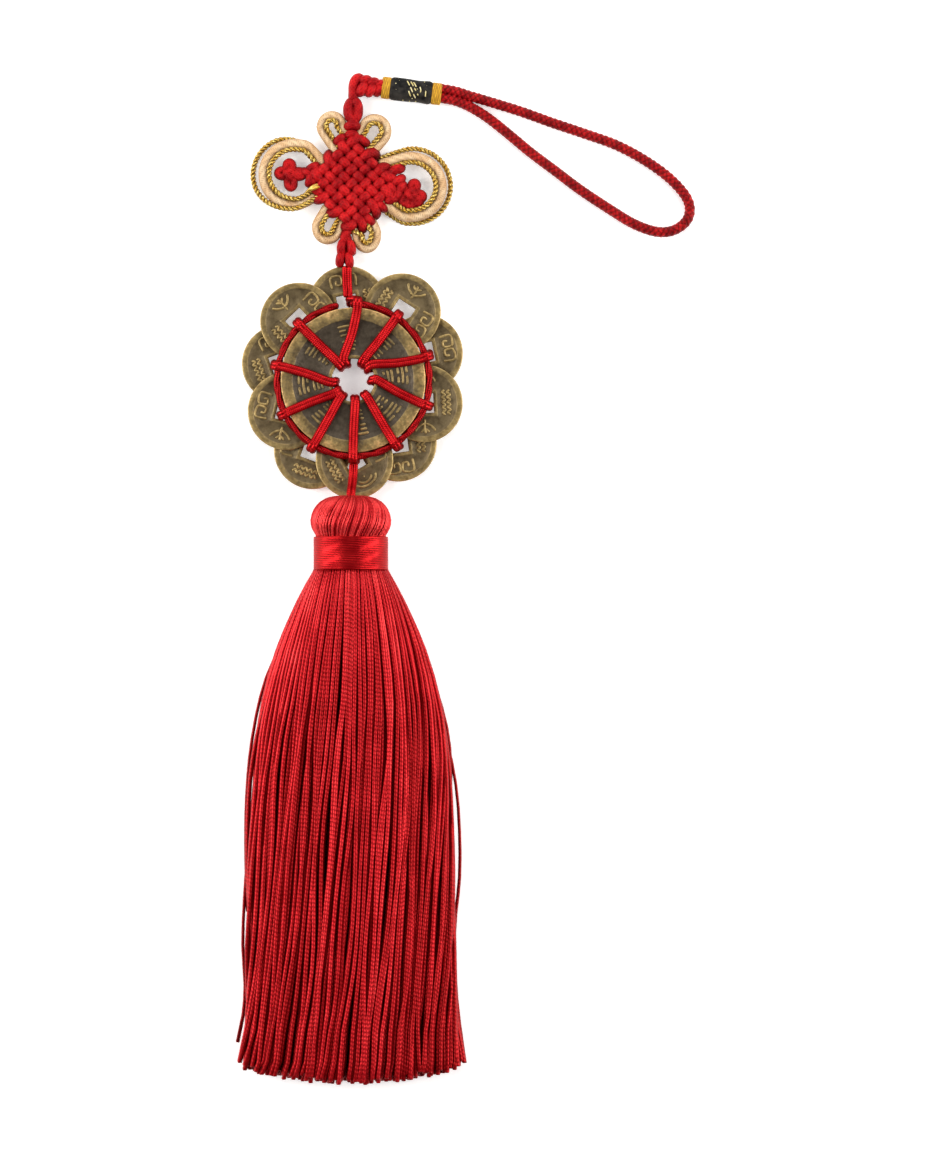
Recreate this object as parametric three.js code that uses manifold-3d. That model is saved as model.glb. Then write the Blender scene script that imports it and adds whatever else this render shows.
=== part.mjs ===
// A hanging charm of knotted cord, lying face up on a table: a hand loop bound with a brocade sleeve, a
// woven diamond knot with looped ears and two small flower knots, ten holed coins lashed in a ring under one
// large coin, and a long silk tassel.
// Millimetres, +X to the right of the face, +Y towards the loop, +Z up from the table.
import * as THREE from "three";
import { mergeVertices } from "three/addons/utils/BufferGeometryUtils.js";
import Module from "manifold-3d";

const wasm = await Module();
wasm.setup();

const GAP = 0.3; // between neighbouring pieces

// The woven knot: seven cords each way, over and under, turned 45 degrees
const KNOT_X = 0.4;
const KNOT_Y = 117.7;
const KNOT_CORDS = 7;
const CORD_PITCH = 2.93;
const KNOT_THICK = 5.4;
const KNOT_Z = KNOT_THICK / 2;
const CROSSING_FLAT = 0.27; // half width of a crossing's raised top, in pitches
const GROOVE_DEEP = 0.9; // between two neighbouring crossings
const POCKET_DEEP = 1.5; // where four crossings meet
const EDGE_DEEP = 1.5; // along the knot's edges
const TURN_OUT = 1.7; // how far a cord's turn stands out from the edge
const TURN_OUT_AT_FACE = 0.6; // the same, at the edge of the upper and lower faces
const KNOT_SIDE_OUT = 12.0; // from the knot's middle to the outside of those turns

// The ears, loops of cream cord with gold cord beside them
const BIG_CREAM = 3.0;
const SMALL_CREAM = 2.7;
const GOLD = 1.3;
const EAR_Z = 2.5;

// The small knots
const PETAL = 1.75; // radius
const FLOWER_MIDDLE = 2.4; // radius
const FLOWER_STEM = 2.2;
const LOBE_RISE = 2.3; // half height of a knot's lobes
const LOWER_STEM = 2.6;

// The coins
const RING_X = 0.96;
const RING_Y = 58.8;
const COIN_RADIUS = 11.6;
const COIN_THICK = 1.3;
const COIN_RIM = 1.7;
const COIN_HOLE = 5.8; // square
const COIN_HOLE_RIM = 1.0;
const COIN_RELIEF = 0.25; // from the rim down to the field
const BIG_COIN_RADIUS = 21.6;
const BIG_COIN_THICK = 1.9;
const BIG_COIN_RIM = 3.5;
const BIG_COIN_HOLE = 6.4; // radius

// The lashing, a flat satin cord: one closed stitch for each coin of the ring, and a cord round the large coin
const STITCH_WIDE = 2.3;
const STITCH_THICK = 1.1;
const STITCH_IN = 5.15; // radius of the stitches' legs in the large coin's hole
const STITCH_OUT = 23.5; // radius of their legs through the small coins' holes
const LEG_WIDE = 1.5; // of the stitch's legs, where the cord folds to pass the holes
const ROUND_CORD = 1.7;
const ROUND_CORD_STEPS = 36;
const LOW_COIN_Z = STITCH_THICK + GAP;
const HIGH_COIN_Z = LOW_COIN_Z + COIN_THICK + GAP;
const BIG_COIN_Z = HIGH_COIN_Z + COIN_THICK + GAP;
const STITCH_TOP = BIG_COIN_Z + BIG_COIN_THICK + GAP + STITCH_THICK;

// The tassel
const TASSEL_X = 0.4;
const HEAD_TOP = 24.0;
const BAND_TOP = 12.2;
const BAND_BOTTOM = 2.2;
const BAND_THICK = 0.7;
const NECK_RADIUS = 10.3;
const HEAD_RADIUS = 11.85;
const HEAD_SIDES = 20; // one side faces the table
const HEAD_FLATNESS = 0.93; // height over width
const HEAD_SUNK = 0.35; // how far the soft head is pressed flat on the table
const BACKING_END = -3.5;
const TASSEL_END = -151.2;
const STRAND_RADIUS = 1.1;
const LOCK_RADIUS = 1.5;
const ROOT_SHARE = 0.5; // a strand's radius at its root, over that at its cut end
const SIDE_SHORTER = 5.5;
const CUT_UNEVEN = 0.8;

// The sleeve where the hand loop's two ends are bound
const SLEEVE_START = [9.4, 146.6];
const SLEEVE_TURN = -6.8; // degrees
const SLEEVE_WIDE = 7.0;
const SLEEVE_HIGH = 5.4;
const BINDING_WIDE = 6.6;
const BINDING_HIGH = 5.1;
const NEAR_BINDING_END = 2.8; // along the sleeve
const SLEEVE_END = 14.7;
const FAR_BINDING_END = 18.0;
const LOOP_CORD = 2.9;

const RED = 0xb5121d;
const SATIN_RED = 0xc4161f;
const TASSEL_RED = 0xbf0d18;
const CREAM = 0xe9cfa6;
const GOLD_COLOUR = 0xc79a32;
const BRASS = 0x7d6a3f;
const BLACK = 0x14110f;
const YELLOW = 0xe0aa1c;

const group = new THREE.Group();

function addMesh(name, geometry, colour, roughness = 0.7, metalness = 0) {
  const material = new THREE.MeshStandardMaterial({ color: colour, roughness, metalness });
  const mesh = new THREE.Mesh(geometry, material);
  mesh.name = name;
  group.add(mesh);
  return mesh;
}

function solidOf(geometry) {
  const bare = new THREE.BufferGeometry().setAttribute("position", geometry.getAttribute("position"));
  if (geometry.index) bare.setIndex(geometry.index);
  const merged = mergeVertices(bare, 1e-4);
  return new wasm.Manifold(
    new wasm.Mesh({
      numProp: 3,
      vertProperties: new Float32Array(merged.attributes.position.array),
      triVerts: new Uint32Array(merged.index.array),
    }),
  );
}

function geometryOf(solid) {
  const mesh = solid.getMesh();
  const geometry = new THREE.BufferGeometry();
  geometry.setAttribute("position", new THREE.BufferAttribute(mesh.vertProperties, 3));
  geometry.setIndex(new THREE.BufferAttribute(mesh.triVerts, 1));
  return geometry;
}

// The pieces as one solid. A pocket that they shut in between them is filled.
function joined(geometries) {
  const shells = geometries.map(solidOf).reduce((all, next) => all.add(next)).decompose();
  const outer = shells.filter((shell) => shell.volume() > 0);
  return geometryOf(outer.reduce((all, next) => all.add(next)));
}

// A curve whose rings fall on its own points, not at equal distances.
class PointCurve extends THREE.CatmullRomCurve3 {
  getUtoTmapping(share) {
    return share;
  }
}

function roundSection(radius, sides, turn = 0) {
  const corners = Array.from({ length: sides }, (_, i) => {
    const angle = turn + (i * 2 * Math.PI) / sides;
    return new THREE.Vector2(radius * Math.cos(angle), radius * Math.sin(angle));
  });
  return new THREE.Shape(corners);
}

// A round cord through the points. With no steps given, it has one ring at each point.
function cordGeometry(points, diameter, sides, steps = 0) {
  const places = points.map((p) => new THREE.Vector3(...p));
  const path = steps ? new THREE.CatmullRomCurve3(places, false, "centripetal") : new PointCurve(places);
  return new THREE.ExtrudeGeometry(roundSection(diameter / 2, sides), {
    steps: steps || places.length - 1,
    extrudePath: path,
  });
}

// A lobe of a tight knot: a cord end-on or doubled back, drawn into a lump.
function lobe({ x, y, rx, ry, rz = LOBE_RISE, turn = 0 }) {
  return new THREE.SphereGeometry(1, 8, 5)
    .rotateX(Math.PI / 2)
    .scale(rx, ry, rz)
    .rotateZ(THREE.MathUtils.degToRad(turn))
    .translate(x, y, KNOT_Z);
}

// A point of the woven knot, from its middle: along its rising and falling diagonals, in millimetres.
function knotPoint(rising, falling, z = 0) {
  const half = Math.SQRT1_2;
  return [KNOT_X + (rising - falling) * half, KNOT_Y + (rising + falling) * half, KNOT_Z + z];
}

// The knot's grid: for each cord a groove beside it and the two edges of its raised top.
const GRID_STEPS = 3 * KNOT_CORDS;
const GRID_PARTS = [0, 0.5 - CROSSING_FLAT, 0.5 + CROSSING_FLAT];

function gridPlace(line) {
  const cord = Math.floor(line / 3);
  return (cord + GRID_PARTS[line % 3] - KNOT_CORDS / 2) * CORD_PITCH;
}

// How much of a turn's bulge falls on this grid line. Turns join cords in pairs, from the first pair on.
function turnShare(line, firstPair) {
  const fromMiddle = Math.abs(((line - 3 * firstPair + 30) % 6) - 3);
  const onEdge = line > 0 && line < GRID_STEPS && line >= 3 * (firstPair - 1);
  return onEdge && fromMiddle < 3 ? Math.cos((fromMiddle / 3) * (Math.PI / 2)) : 0;
}

// Which way an edge line faces: -1 or 1, and 0 for the lines between.
function edgeSide(line) {
  return line === 0 ? -1 : line === GRID_STEPS ? 1 : 0;
}

function knotGridPoint(across, up, level) {
  const atEdge = edgeSide(across) !== 0 || edgeSide(up) !== 0;
  const grooves = (across % 3 === 0) + (up % 3 === 0);
  const depth = atEdge ? EDGE_DEEP : [0, GROOVE_DEEP, POCKET_DEEP][grooves];
  const out = level === 0 ? TURN_OUT : TURN_OUT_AT_FACE;
  const rising = gridPlace(across) + edgeSide(across) * out * turnShare(up, across ? 1 : 0);
  const falling = gridPlace(up) + edgeSide(up) * out * turnShare(across, up ? 0 : 1);
  return knotPoint(rising, falling, level * (KNOT_THICK / 2 - depth));
}

// The woven knot is a slab whose faces are raised at each crossing, with cord turns along its edges.
function wovenKnot() {
  const body = new THREE.BoxGeometry(GRID_STEPS, GRID_STEPS, 2, GRID_STEPS, GRID_STEPS, 2);
  const position = body.getAttribute("position");
  for (let i = 0; i < position.count; i++) {
    const across = Math.round(position.getX(i) + GRID_STEPS / 2);
    const up = Math.round(position.getY(i) + GRID_STEPS / 2);
    position.setXYZ(i, ...knotGridPoint(across, up, Math.round(position.getZ(i))));
  }
  addMesh("woven_knot", body, RED, 0.8);
}

// A point at the foot of an ear: on one side of the woven knot, that far along it and that far out.
function knotSide(side, along, out, z) {
  const place = {
    upper_right: [out, along],
    upper_left: [along, out],
    lower_left: [-out, along],
    lower_right: [along, -out],
  }[side];
  return knotPoint(...place, z - KNOT_Z);
}

// An ear's route: from one foot, round an arc about (x, y) from the knot's middle, to the other foot. An arc
// that itself ends beside the knot has one foot only.
function earRoute({ x, y, rx, ry, from, to }, feet, { inset = 0, lift = 0, shift = 0, arcSteps, slack }) {
  const foot = ([side, along, slip]) =>
    knotSide(side, along + slip * shift, KNOT_SIDE_OUT + GAP + slack, EAR_Z + lift);
  const points = [foot(feet[0])];
  for (let step = 0; step <= arcSteps; step++) {
    const angle = THREE.MathUtils.degToRad(from + ((to - from) * step) / arcSteps);
    const px = x + (rx - inset) * Math.cos(angle);
    const py = y + (ry - inset) * Math.sin(angle);
    points.push([KNOT_X + px, KNOT_Y + py, EAR_Z + lift]);
  }
  if (feet[1]) points.push(foot(feet[1]));
  return points;
}

// Feet: side of the knot, place along it, and which way along it lies the outside of the ear.
const BIG_EARS = [
  {
    name: "left",
    cream: { x: -17.1, y: 2.8, rx: 9.3, ry: 9.2, from: 62, to: 280 },
    outer: { x: -18.4, y: 2.9, rx: 11.2, ry: 11.1, from: 62, to: 285 },
    feet: [["upper_left", -1.6, 1], ["lower_left", 4.6, -1]],
  },
  {
    name: "right",
    cream: { x: 17.8, y: -0.9, rx: 9.2, ry: 9.0, from: 108, to: -108 },
    outer: { x: 18.4, y: -0.5, rx: 11.2, ry: 11.2, from: 113, to: -112 },
    feet: [["upper_right", -1.6, 1], ["lower_right", 2.6, -1]],
  },
];
const SMALL_EARS = [
  {
    name: "upper_left",
    cream: { x: -6.1, y: 17.6, rx: 3.3, ry: 4.0, from: 198, to: -8 },
    feet: [["upper_left", 3.3, -1], ["upper_left", 9.2, 1]],
  },
  {
    name: "upper_right",
    cream: { x: 7.5, y: 16.3, rx: 4.0, ry: 4.2, from: 165, to: -40 },
    feet: [["upper_right", 8.2, 1], ["upper_right", 2.0, -1]],
  },
  {
    name: "lower_left",
    cream: { x: -7.5, y: -13.1, rx: 3.6, ry: 3.7, from: 155, to: 340 },
    feet: [["lower_left", 0.6, 1], ["lower_left", -5.8, -1]],
  },
  {
    name: "lower_right",
    cream: { x: 5.5, y: -15.3, rx: 3.3, ry: 4.1, from: 22, to: -183 },
    feet: [["lower_right", -2.6, 1]],
  },
];

function ears() {
  for (const { name, cream, outer, feet } of BIG_EARS) {
    const middle = earRoute(cream, feet, { arcSteps: 10, slack: 0.9 });
    addMesh(`${name}_big_ear_cream`, cordGeometry(middle, BIG_CREAM, 8), CREAM, 0.6);
    const inside = earRoute(cream, feet, { inset: 1.8, lift: 1.65, shift: -1.9, arcSteps: 9, slack: 0.5 });
    addMesh(`${name}_big_ear_gold_inner`, cordGeometry(inside, GOLD, 6), GOLD_COLOUR, 0.35, 0.8);
    const outside = earRoute(outer, feet, { lift: -1.85, shift: 2.0, arcSteps: 10, slack: 0.5 });
    addMesh(`${name}_big_ear_gold_outer`, cordGeometry(outside, GOLD, 6), GOLD_COLOUR, 0.35, 0.8);
  }
  for (const { name, cream, feet } of SMALL_EARS) {
    const middle = earRoute(cream, feet, { arcSteps: 7, slack: 0.7 });
    addMesh(`${name}_ear_cream`, cordGeometry(middle, SMALL_CREAM, 6), CREAM, 0.6);
    const inside = earRoute(cream, feet, { inset: 1.6, lift: 1.8, shift: -1.5, arcSteps: 6, slack: 0.3 });
    addMesh(`${name}_ear_gold`, cordGeometry(inside, GOLD, 6), GOLD_COLOUR, 0.35, 0.8);
  }
}

// A small flower knot: petals round a middle, and the cord that ties it to the woven knot's corner.
function flowerKnot(name, x, y, petals, stem) {
  const lobes = petals.map(([dx, dy]) => ({ x: x + dx, y: y + dy, rx: PETAL, ry: PETAL, rz: PETAL }));
  const pieces = [{ x, y, rx: FLOWER_MIDDLE, ry: FLOWER_MIDDLE }, ...lobes].map(lobe);
  pieces.push(cordGeometry([[x, y, KNOT_Z], [...stem, KNOT_Z]], FLOWER_STEM, 6));
  addMesh(name, joined(pieces), RED, 0.8);
}

const UPPER_KNOT_LOBES = [
  { x: 0.9, y: 134.4, rx: 1.55, ry: 1.9 },
  { x: 0.9, y: 137.2, rx: 1.8, ry: 1.7 },
  { x: -0.6, y: 141.0, rx: 2.0, ry: 3.2, turn: 8 },
  { x: 2.9, y: 140.7, rx: 2.1, ry: 3.3, turn: -8 },
  { x: 1.1, y: 141.0, rx: 2.2, ry: 3.3, rz: 2.5 },
  { x: 1.6, y: 146.6, rx: 1.7, ry: 4.2 },
  { x: 3.4, y: 149.2, rx: 3.2, ry: 1.8, turn: -12 },
  { x: 4.4, y: 146.3, rx: 2.4, ry: 2.5, rz: 2.6 },
  { x: 6.9, y: 146.3, rx: 2.2, ry: 2.6, rz: 2.5 },
  { x: 7.0, y: 148.2, rx: 1.9, ry: 1.8 },
];
const LOWER_KNOT_LOBES = [
  { x: -1.1, y: 101.2, rx: 1.6, ry: 1.6 },
  { x: -2.4, y: 98.5, rx: 1.7, ry: 1.75 },
  { x: 0.3, y: 98.4, rx: 1.7, ry: 1.75 },
  { x: -2.7, y: 95.1, rx: 1.65, ry: 1.75 },
  { x: -0.1, y: 95.1, rx: 1.65, ry: 1.75 },
];

// Two strands side by side and just touching, along one list of points.
function doubleStrand(name, points, diameter) {
  const apart = 0.46 * diameter;
  const strands = [-1, 1].map((side) => {
    const moved = points.map(([x, y, z]) => [x + side * apart, y, z]);
    return cordGeometry(moved, diameter, 6);
  });
  addMesh(name, joined(strands), SATIN_RED, 0.5);
}

// The ring of coins: place about the ring's middle, turn of the square hole, and which layer.
const COINS = [
  { angle: 94.7, radius: 22.8, spin: 10, high: false },
  { angle: 54.5, radius: 25.1, spin: -33, high: true },
  { angle: 21.3, radius: 22.7, spin: 12, high: false },
  { angle: -18.1, radius: 22.2, spin: 3, high: true },
  { angle: -54.4, radius: 22.9, spin: 8, high: false },
  { angle: -89.2, radius: 23.8, spin: 30, high: true },
  { angle: -120.3, radius: 24.2, spin: -20, high: false },
  { angle: -155.3, radius: 22.0, spin: -14, high: true },
  { angle: 166.9, radius: 22.4, spin: 20, high: false },
  { angle: 132.7, radius: 24.0, spin: 44, high: true },
];
// Where each stitch runs: its angle on the ring cord, in the small coin's hole and in the large coin's hole.
const STITCHES = [
  { outer: 86.7, hole: 92.0, inner: 113 },
  { outer: 55.4, hole: 55.4, inner: 62 },
  { outer: 17.4, hole: 19.0, inner: 40 },
  { outer: -18.8, hole: -18.8, inner: 0 },
  { outer: -56.6, hole: -55.4, inner: -51 },
  { outer: -90.0, hole: -88.7, inner: -85 },
  { outer: -121.6, hole: -121.2, inner: -126 },
  { outer: -153.7, hole: -154.4, inner: -145 },
  { outer: 169.5, hole: 168.4, inner: 185 },
  { outer: 134.2, hole: 133.4, inner: 131 },
];

function polar(radius, degrees) {
  const angle = THREE.MathUtils.degToRad(degrees);
  return new THREE.Vector2(radius * Math.cos(angle), radius * Math.sin(angle));
}

function squarePath(half, Kind) {
  const path = new Kind();
  path.moveTo(half, half).lineTo(-half, half).lineTo(-half, -half).lineTo(half, -half).closePath();
  return path;
}

function ringShape(outer, inner) {
  const shape = new THREE.Shape().absarc(0, 0, outer, 0, 2 * Math.PI);
  if (inner) shape.holes.push(new THREE.Path().absarc(0, 0, inner, 0, 2 * Math.PI, true));
  return shape;
}

function slab(shape, z, height, curveSegments) {
  const geometry = new THREE.ExtrudeGeometry(shape, { depth: height, bevelEnabled: false, curveSegments });
  return geometry.translate(0, 0, z);
}

// A cast coin with a square hole: rims raised above the field on its face, flat behind.
function smallCoin({ angle, radius, spin, high }, number) {
  const field = COIN_THICK - COIN_RELIEF;
  const disc = solidOf(slab(ringShape(COIN_RADIUS), 0, COIN_THICK, 12));
  const recess = new THREE.Shape().absarc(0, 0, COIN_RADIUS - COIN_RIM, 0, 2 * Math.PI);
  recess.holes.push(squarePath(COIN_HOLE / 2 + COIN_HOLE_RIM, THREE.Path));
  const hole = slab(squarePath(COIN_HOLE / 2, THREE.Shape), -1, COIN_THICK + 2, 1);
  const coin = disc.subtract(solidOf(slab(recess, field, COIN_RELIEF + 1, 10))).subtract(solidOf(hole));
  const place = polar(radius, angle);
  const name = `coin_${String(number).padStart(2, "0")}`;
  const mesh = addMesh(name, geometryOf(coin), BRASS, 0.5, 0.85);
  mesh.rotation.z = THREE.MathUtils.degToRad(spin);
  mesh.position.set(RING_X + place.x, RING_Y + place.y, high ? HIGH_COIN_Z : LOW_COIN_Z);
}

function largeCoin() {
  const body = solidOf(slab(ringShape(BIG_COIN_RADIUS, BIG_COIN_HOLE), 0, BIG_COIN_THICK, 20));
  const recess = ringShape(BIG_COIN_RADIUS - BIG_COIN_RIM, BIG_COIN_HOLE + 1);
  const cut = solidOf(slab(recess, BIG_COIN_THICK - COIN_RELIEF, 1, 16));
  const mesh = addMesh("large_coin", geometryOf(body.subtract(cut)), BRASS, 0.5, 0.85);
  mesh.position.set(RING_X, RING_Y, BIG_COIN_Z);
}

// A flat bar of the lashing from one place of the ring to another, or an upright one if they are the same.
function bar(from, to, width, low, high) {
  const reach = from.distanceTo(to);
  const heading = reach ? Math.atan2(to.y - from.y, to.x - from.x) : Math.atan2(from.y, from.x);
  return new THREE.BoxGeometry(reach + STITCH_THICK, width, high - low)
    .rotateZ(heading)
    .translate(RING_X + (from.x + to.x) / 2, RING_Y + (from.y + to.y) / 2, (low + high) / 2);
}

// One stitch: a flat cord over the large coin, down its hole, back under the coins and up the small hole.
function stitch({ outer, hole, inner }) {
  const onRing = polar(STITCH_OUT, outer);
  const inHole = polar(STITCH_OUT, hole);
  const inside = polar(STITCH_IN, inner);
  return [
    bar(onRing, inside, STITCH_WIDE, STITCH_TOP - STITCH_THICK, STITCH_TOP),
    bar(onRing, onRing, LEG_WIDE, BIG_COIN_Z + STITCH_THICK, STITCH_TOP),
    bar(inHole, inHole, LEG_WIDE, 0, BIG_COIN_Z + STITCH_THICK),
    bar(inHole, inside, LEG_WIDE, 0, STITCH_THICK),
    bar(inside, inside, LEG_WIDE, 0, STITCH_TOP),
  ];
}

// The cord that runs round the large coin, under the stitches' outer ends, open where it is tied off.
function lashing() {
  const start = STITCHES[0].outer + 6;
  const end = start - 352;
  const z = BIG_COIN_Z + ROUND_CORD / 2;
  const points = Array.from({ length: ROUND_CORD_STEPS + 1 }, (_, step) => {
    const place = polar(STITCH_OUT, start + ((end - start) * step) / ROUND_CORD_STEPS);
    return [RING_X + place.x, RING_Y + place.y, z];
  });
  const pieces = [cordGeometry(points, ROUND_CORD, 5), ...STITCHES.flatMap(stitch)];
  addMesh("lashing", joined(pieces), SATIN_RED, 0.5);
}

// The tassel's cross-sections, from the neck to the cut ends. The table flattens it more and more.
const TASSEL_SECTIONS = [
  { y: 1.0, width: 20.2, height: 18.8 },
  { y: -8.0, width: 35.0, height: 20.0 },
  { y: -22.0, width: 46.0, height: 18.4 },
  { y: -50.0, width: 57.0, height: 15.8 },
  { y: -95.0, width: 62.2, height: 13.8 },
  { y: TASSEL_END, width: 67.0, height: 12.4 },
];

// The rim of one cross-section, drawn in by the inset: round above, pressed flat where it lies on the table.
function sectionRim({ y, width, height }, inset) {
  const half = width / 2 - inset;
  const rise = height / 2 - inset;
  const corners = Array.from({ length: 48 }, (_, i) => {
    const angle = (i * 2 * Math.PI) / 48;
    const sine = Math.sin(angle);
    const lifted = sine < 0 ? -Math.pow(-sine, 0.7) : sine;
    return new THREE.Vector3(TASSEL_X + half * Math.cos(angle), y, inset + rise * (1 + lifted));
  });
  return new THREE.CatmullRomCurve3(corners, true);
}

// One strand: a three-sided rod through the points, getting thicker towards its cut end.
function strand(points, radius, turn) {
  const steps = points.length - 1;
  const rod = new THREE.CylinderGeometry(radius * ROOT_SHARE, radius, steps, 3, steps, false, turn);
  const position = rod.getAttribute("position");
  for (let i = 0; i < position.count; i++) {
    const at = points[Math.round(steps / 2 - position.getY(i))];
    position.setXYZ(i, at.x + position.getX(i), at.y, at.z + position.getZ(i));
  }
  return rod;
}

// A ring of strands just inside the rim. Strands at the sides are cut a little shorter.
function strandRing(count, radius, inset, start) {
  const rims = TASSEL_SECTIONS.map((section) => sectionRim(section, inset));
  return Array.from({ length: count }, (_, i) => {
    const points = rims.map((rim) => rim.getPointAt(((i + start) / count) % 1));
    const last = points[points.length - 1];
    const away = Math.abs(last.x - TASSEL_X) / (TASSEL_SECTIONS.at(-1).width / 2);
    last.y += SIDE_SHORTER * away * away + CUT_UNEVEN * (1 + Math.sin(i * 2.4));
    return strand(points, radius, i * 1.7);
  });
}

function tasselHead() {
  const profile = [
    [0, HEAD_TOP],
    [5.4, HEAD_TOP - 0.5],
    [9.2, HEAD_TOP - 2.2],
    [11.3, HEAD_TOP - 4.8],
    [HEAD_RADIUS, HEAD_TOP - 7.0],
    [HEAD_RADIUS, HEAD_TOP - 9.6],
    [11.4, BAND_TOP + 1.0],
    [NECK_RADIUS, BAND_TOP + GAP],
    [NECK_RADIUS, BAND_BOTTOM - GAP],
    [NECK_RADIUS + 0.9, BAND_BOTTOM - 2 * GAP],
    [14.2, BACKING_END],
    [0, BACKING_END],
  ].map(([radius, y]) => new THREE.Vector2(radius, y));
  return new THREE.LatheGeometry(profile.reverse(), HEAD_SIDES, Math.PI / HEAD_SIDES);
}

// Lays a round piece of the tassel on the table: a little flattened, and flat where it touches.
function laidDown(geometry) {
  const middle = HEAD_RADIUS * HEAD_FLATNESS - HEAD_SUNK;
  geometry.scale(1, 1, HEAD_FLATNESS).translate(TASSEL_X, 0, middle);
  const position = geometry.getAttribute("position");
  for (let i = 0; i < position.count; i++) position.setZ(i, Math.max(0, position.getZ(i)));
  return geometry;
}

function tassel() {
  const strands = [
    ...strandRing(54, STRAND_RADIUS, STRAND_RADIUS, 0),
    ...strandRing(20, LOCK_RADIUS, 3.6, 0.5),
  ];
  addMesh("tassel", joined([laidDown(tasselHead()), ...strands]), TASSEL_RED, 0.5);
  const inner = NECK_RADIUS + GAP;
  const outer = inner + BAND_THICK;
  const profile = [
    [inner, BAND_BOTTOM],
    [outer, BAND_BOTTOM],
    [outer, BAND_TOP],
    [inner, BAND_TOP],
    [inner, BAND_BOTTOM],
  ].map(([radius, y]) => new THREE.Vector2(radius, y));
  addMesh("tassel_band", laidDown(new THREE.LatheGeometry(profile, 28)), SATIN_RED, 0.4);
}

// A flattened round collar on the sleeve's line, from one distance to another along it.
function collar(name, from, to, wide, high, colour) {
  const body = new THREE.CylinderGeometry(0.5, 0.5, to - from, 20)
    .rotateZ(-Math.PI / 2)
    .scale(1, wide, high)
    .translate((from + to) / 2, 0, 0);
  const mesh = addMesh(name, body, colour, 0.6);
  mesh.position.set(...SLEEVE_START, high / 2);
  mesh.rotation.z = THREE.MathUtils.degToRad(SLEEVE_TURN);
}

// The hand loop lies on the table: out of the sleeve's end, round, and back into it.
const LOOP_POINTS = [
  [28.0, 146.2, 2.6], [31.5, 145.7, 2.2], [35.5, 144.8, 1.6], [42.0, 142.6, 1.47], [51.0, 139.5, 1.47],
  [60.5, 136.1, 1.47], [70.0, 132.9, 1.47], [79.5, 129.5, 1.47], [87.5, 125.3, 1.47], [94.8, 120.2, 1.47],
  [99.9, 114.9, 1.47], [101.7, 110.6, 1.47], [100.6, 106.6, 1.47], [96.6, 103.8, 1.47], [91.5, 103.5, 1.47],
  [85.0, 105.8, 1.47], [78.6, 109.6, 1.47], [69.2, 115.8, 1.47], [61.6, 121.5, 1.47], [54.0, 127.2, 1.47],
  [46.4, 133.5, 1.47], [40.2, 138.2, 1.47], [34.9, 141.2, 1.6], [31.2, 142.5, 2.2], [27.8, 143.0, 2.6],
];
const LOOP_STEPS = 36;

wovenKnot();
ears();
const LEFT_PETALS = [[0, 3.1], [-2.8, 0.9], [0.5, -3.4], [2.9, 0.8]];
const RIGHT_PETALS = [[1.0, 3.0], [3.0, -0.8], [-0.9, -2.4], [-1.6, 0.4]];
flowerKnot("left_flower_knot", -18.3, 121.0, LEFT_PETALS, [-14.9, 119.6]);
flowerKnot("right_flower_knot", 18.6, 115.1, RIGHT_PETALS, [17.4, 116.4]);
addMesh("upper_knots", joined(UPPER_KNOT_LOBES.map(lobe)), RED, 0.8);
const lowerStem = cordGeometry([[-1.1, 102.4, KNOT_Z], [-1.35, 93.8, KNOT_Z]], LOWER_STEM, 6);
addMesh("lower_knots", joined([lowerStem, ...LOWER_KNOT_LOBES.map(lobe)]), RED, 0.8);

// The cut end of a gold cord, left lying on the woven knot's face.
const TAIL_Z = KNOT_THICK + GAP + GOLD / 2;
const goldTail = cordGeometry([[-13.0, 115.2, TAIL_Z], [-9.6, 117.0, TAIL_Z]], GOLD, 6);
addMesh("gold_tail", goldTail, GOLD_COLOUR, 0.35, 0.8);

COINS.forEach((coin, i) => smallCoin(coin, i + 1));
largeCoin();
lashing();
const UPPER_STRANDS = [
  [-1.0, 93.1, 3.6], [-0.95, 90.2, 3.9], [-0.85, 87.0, 3.9], [-0.7, 85.0, 4.1], [-0.65, 83.6, 4.9],
];
const LOWER_STRANDS = [[1.1, 34.1, 5.6], [0.95, 30.5, 6.0], [0.7, 27.2, 7.6], [0.4, 24.7, 10.3]];
doubleStrand("upper_strands", UPPER_STRANDS, 1.5);
doubleStrand("lower_strands", LOWER_STRANDS, 1.4);
tassel();

collar("sleeve_binding_near", 0, NEAR_BINDING_END, BINDING_WIDE, BINDING_HIGH, YELLOW);
collar("sleeve", NEAR_BINDING_END + GAP, SLEEVE_END, SLEEVE_WIDE, SLEEVE_HIGH, BLACK);
collar("sleeve_binding_far", SLEEVE_END + GAP, FAR_BINDING_END, BINDING_WIDE, BINDING_HIGH, YELLOW);
addMesh("hand_loop", cordGeometry(LOOP_POINTS, LOOP_CORD, 8, LOOP_STEPS), RED, 0.75);

// The origin is under the middle of everything but the hand loop.
const still = new THREE.Box3();
group.children.filter((mesh) => mesh.name !== "hand_loop").forEach((mesh) => still.expandByObject(mesh, true));
const middle = still.getCenter(new THREE.Vector3());
group.position.set(-middle.x, -middle.y, 0);
export default group;
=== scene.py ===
import math
import random

import bmesh
import bpy
from mathutils import Matrix, Vector


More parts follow.
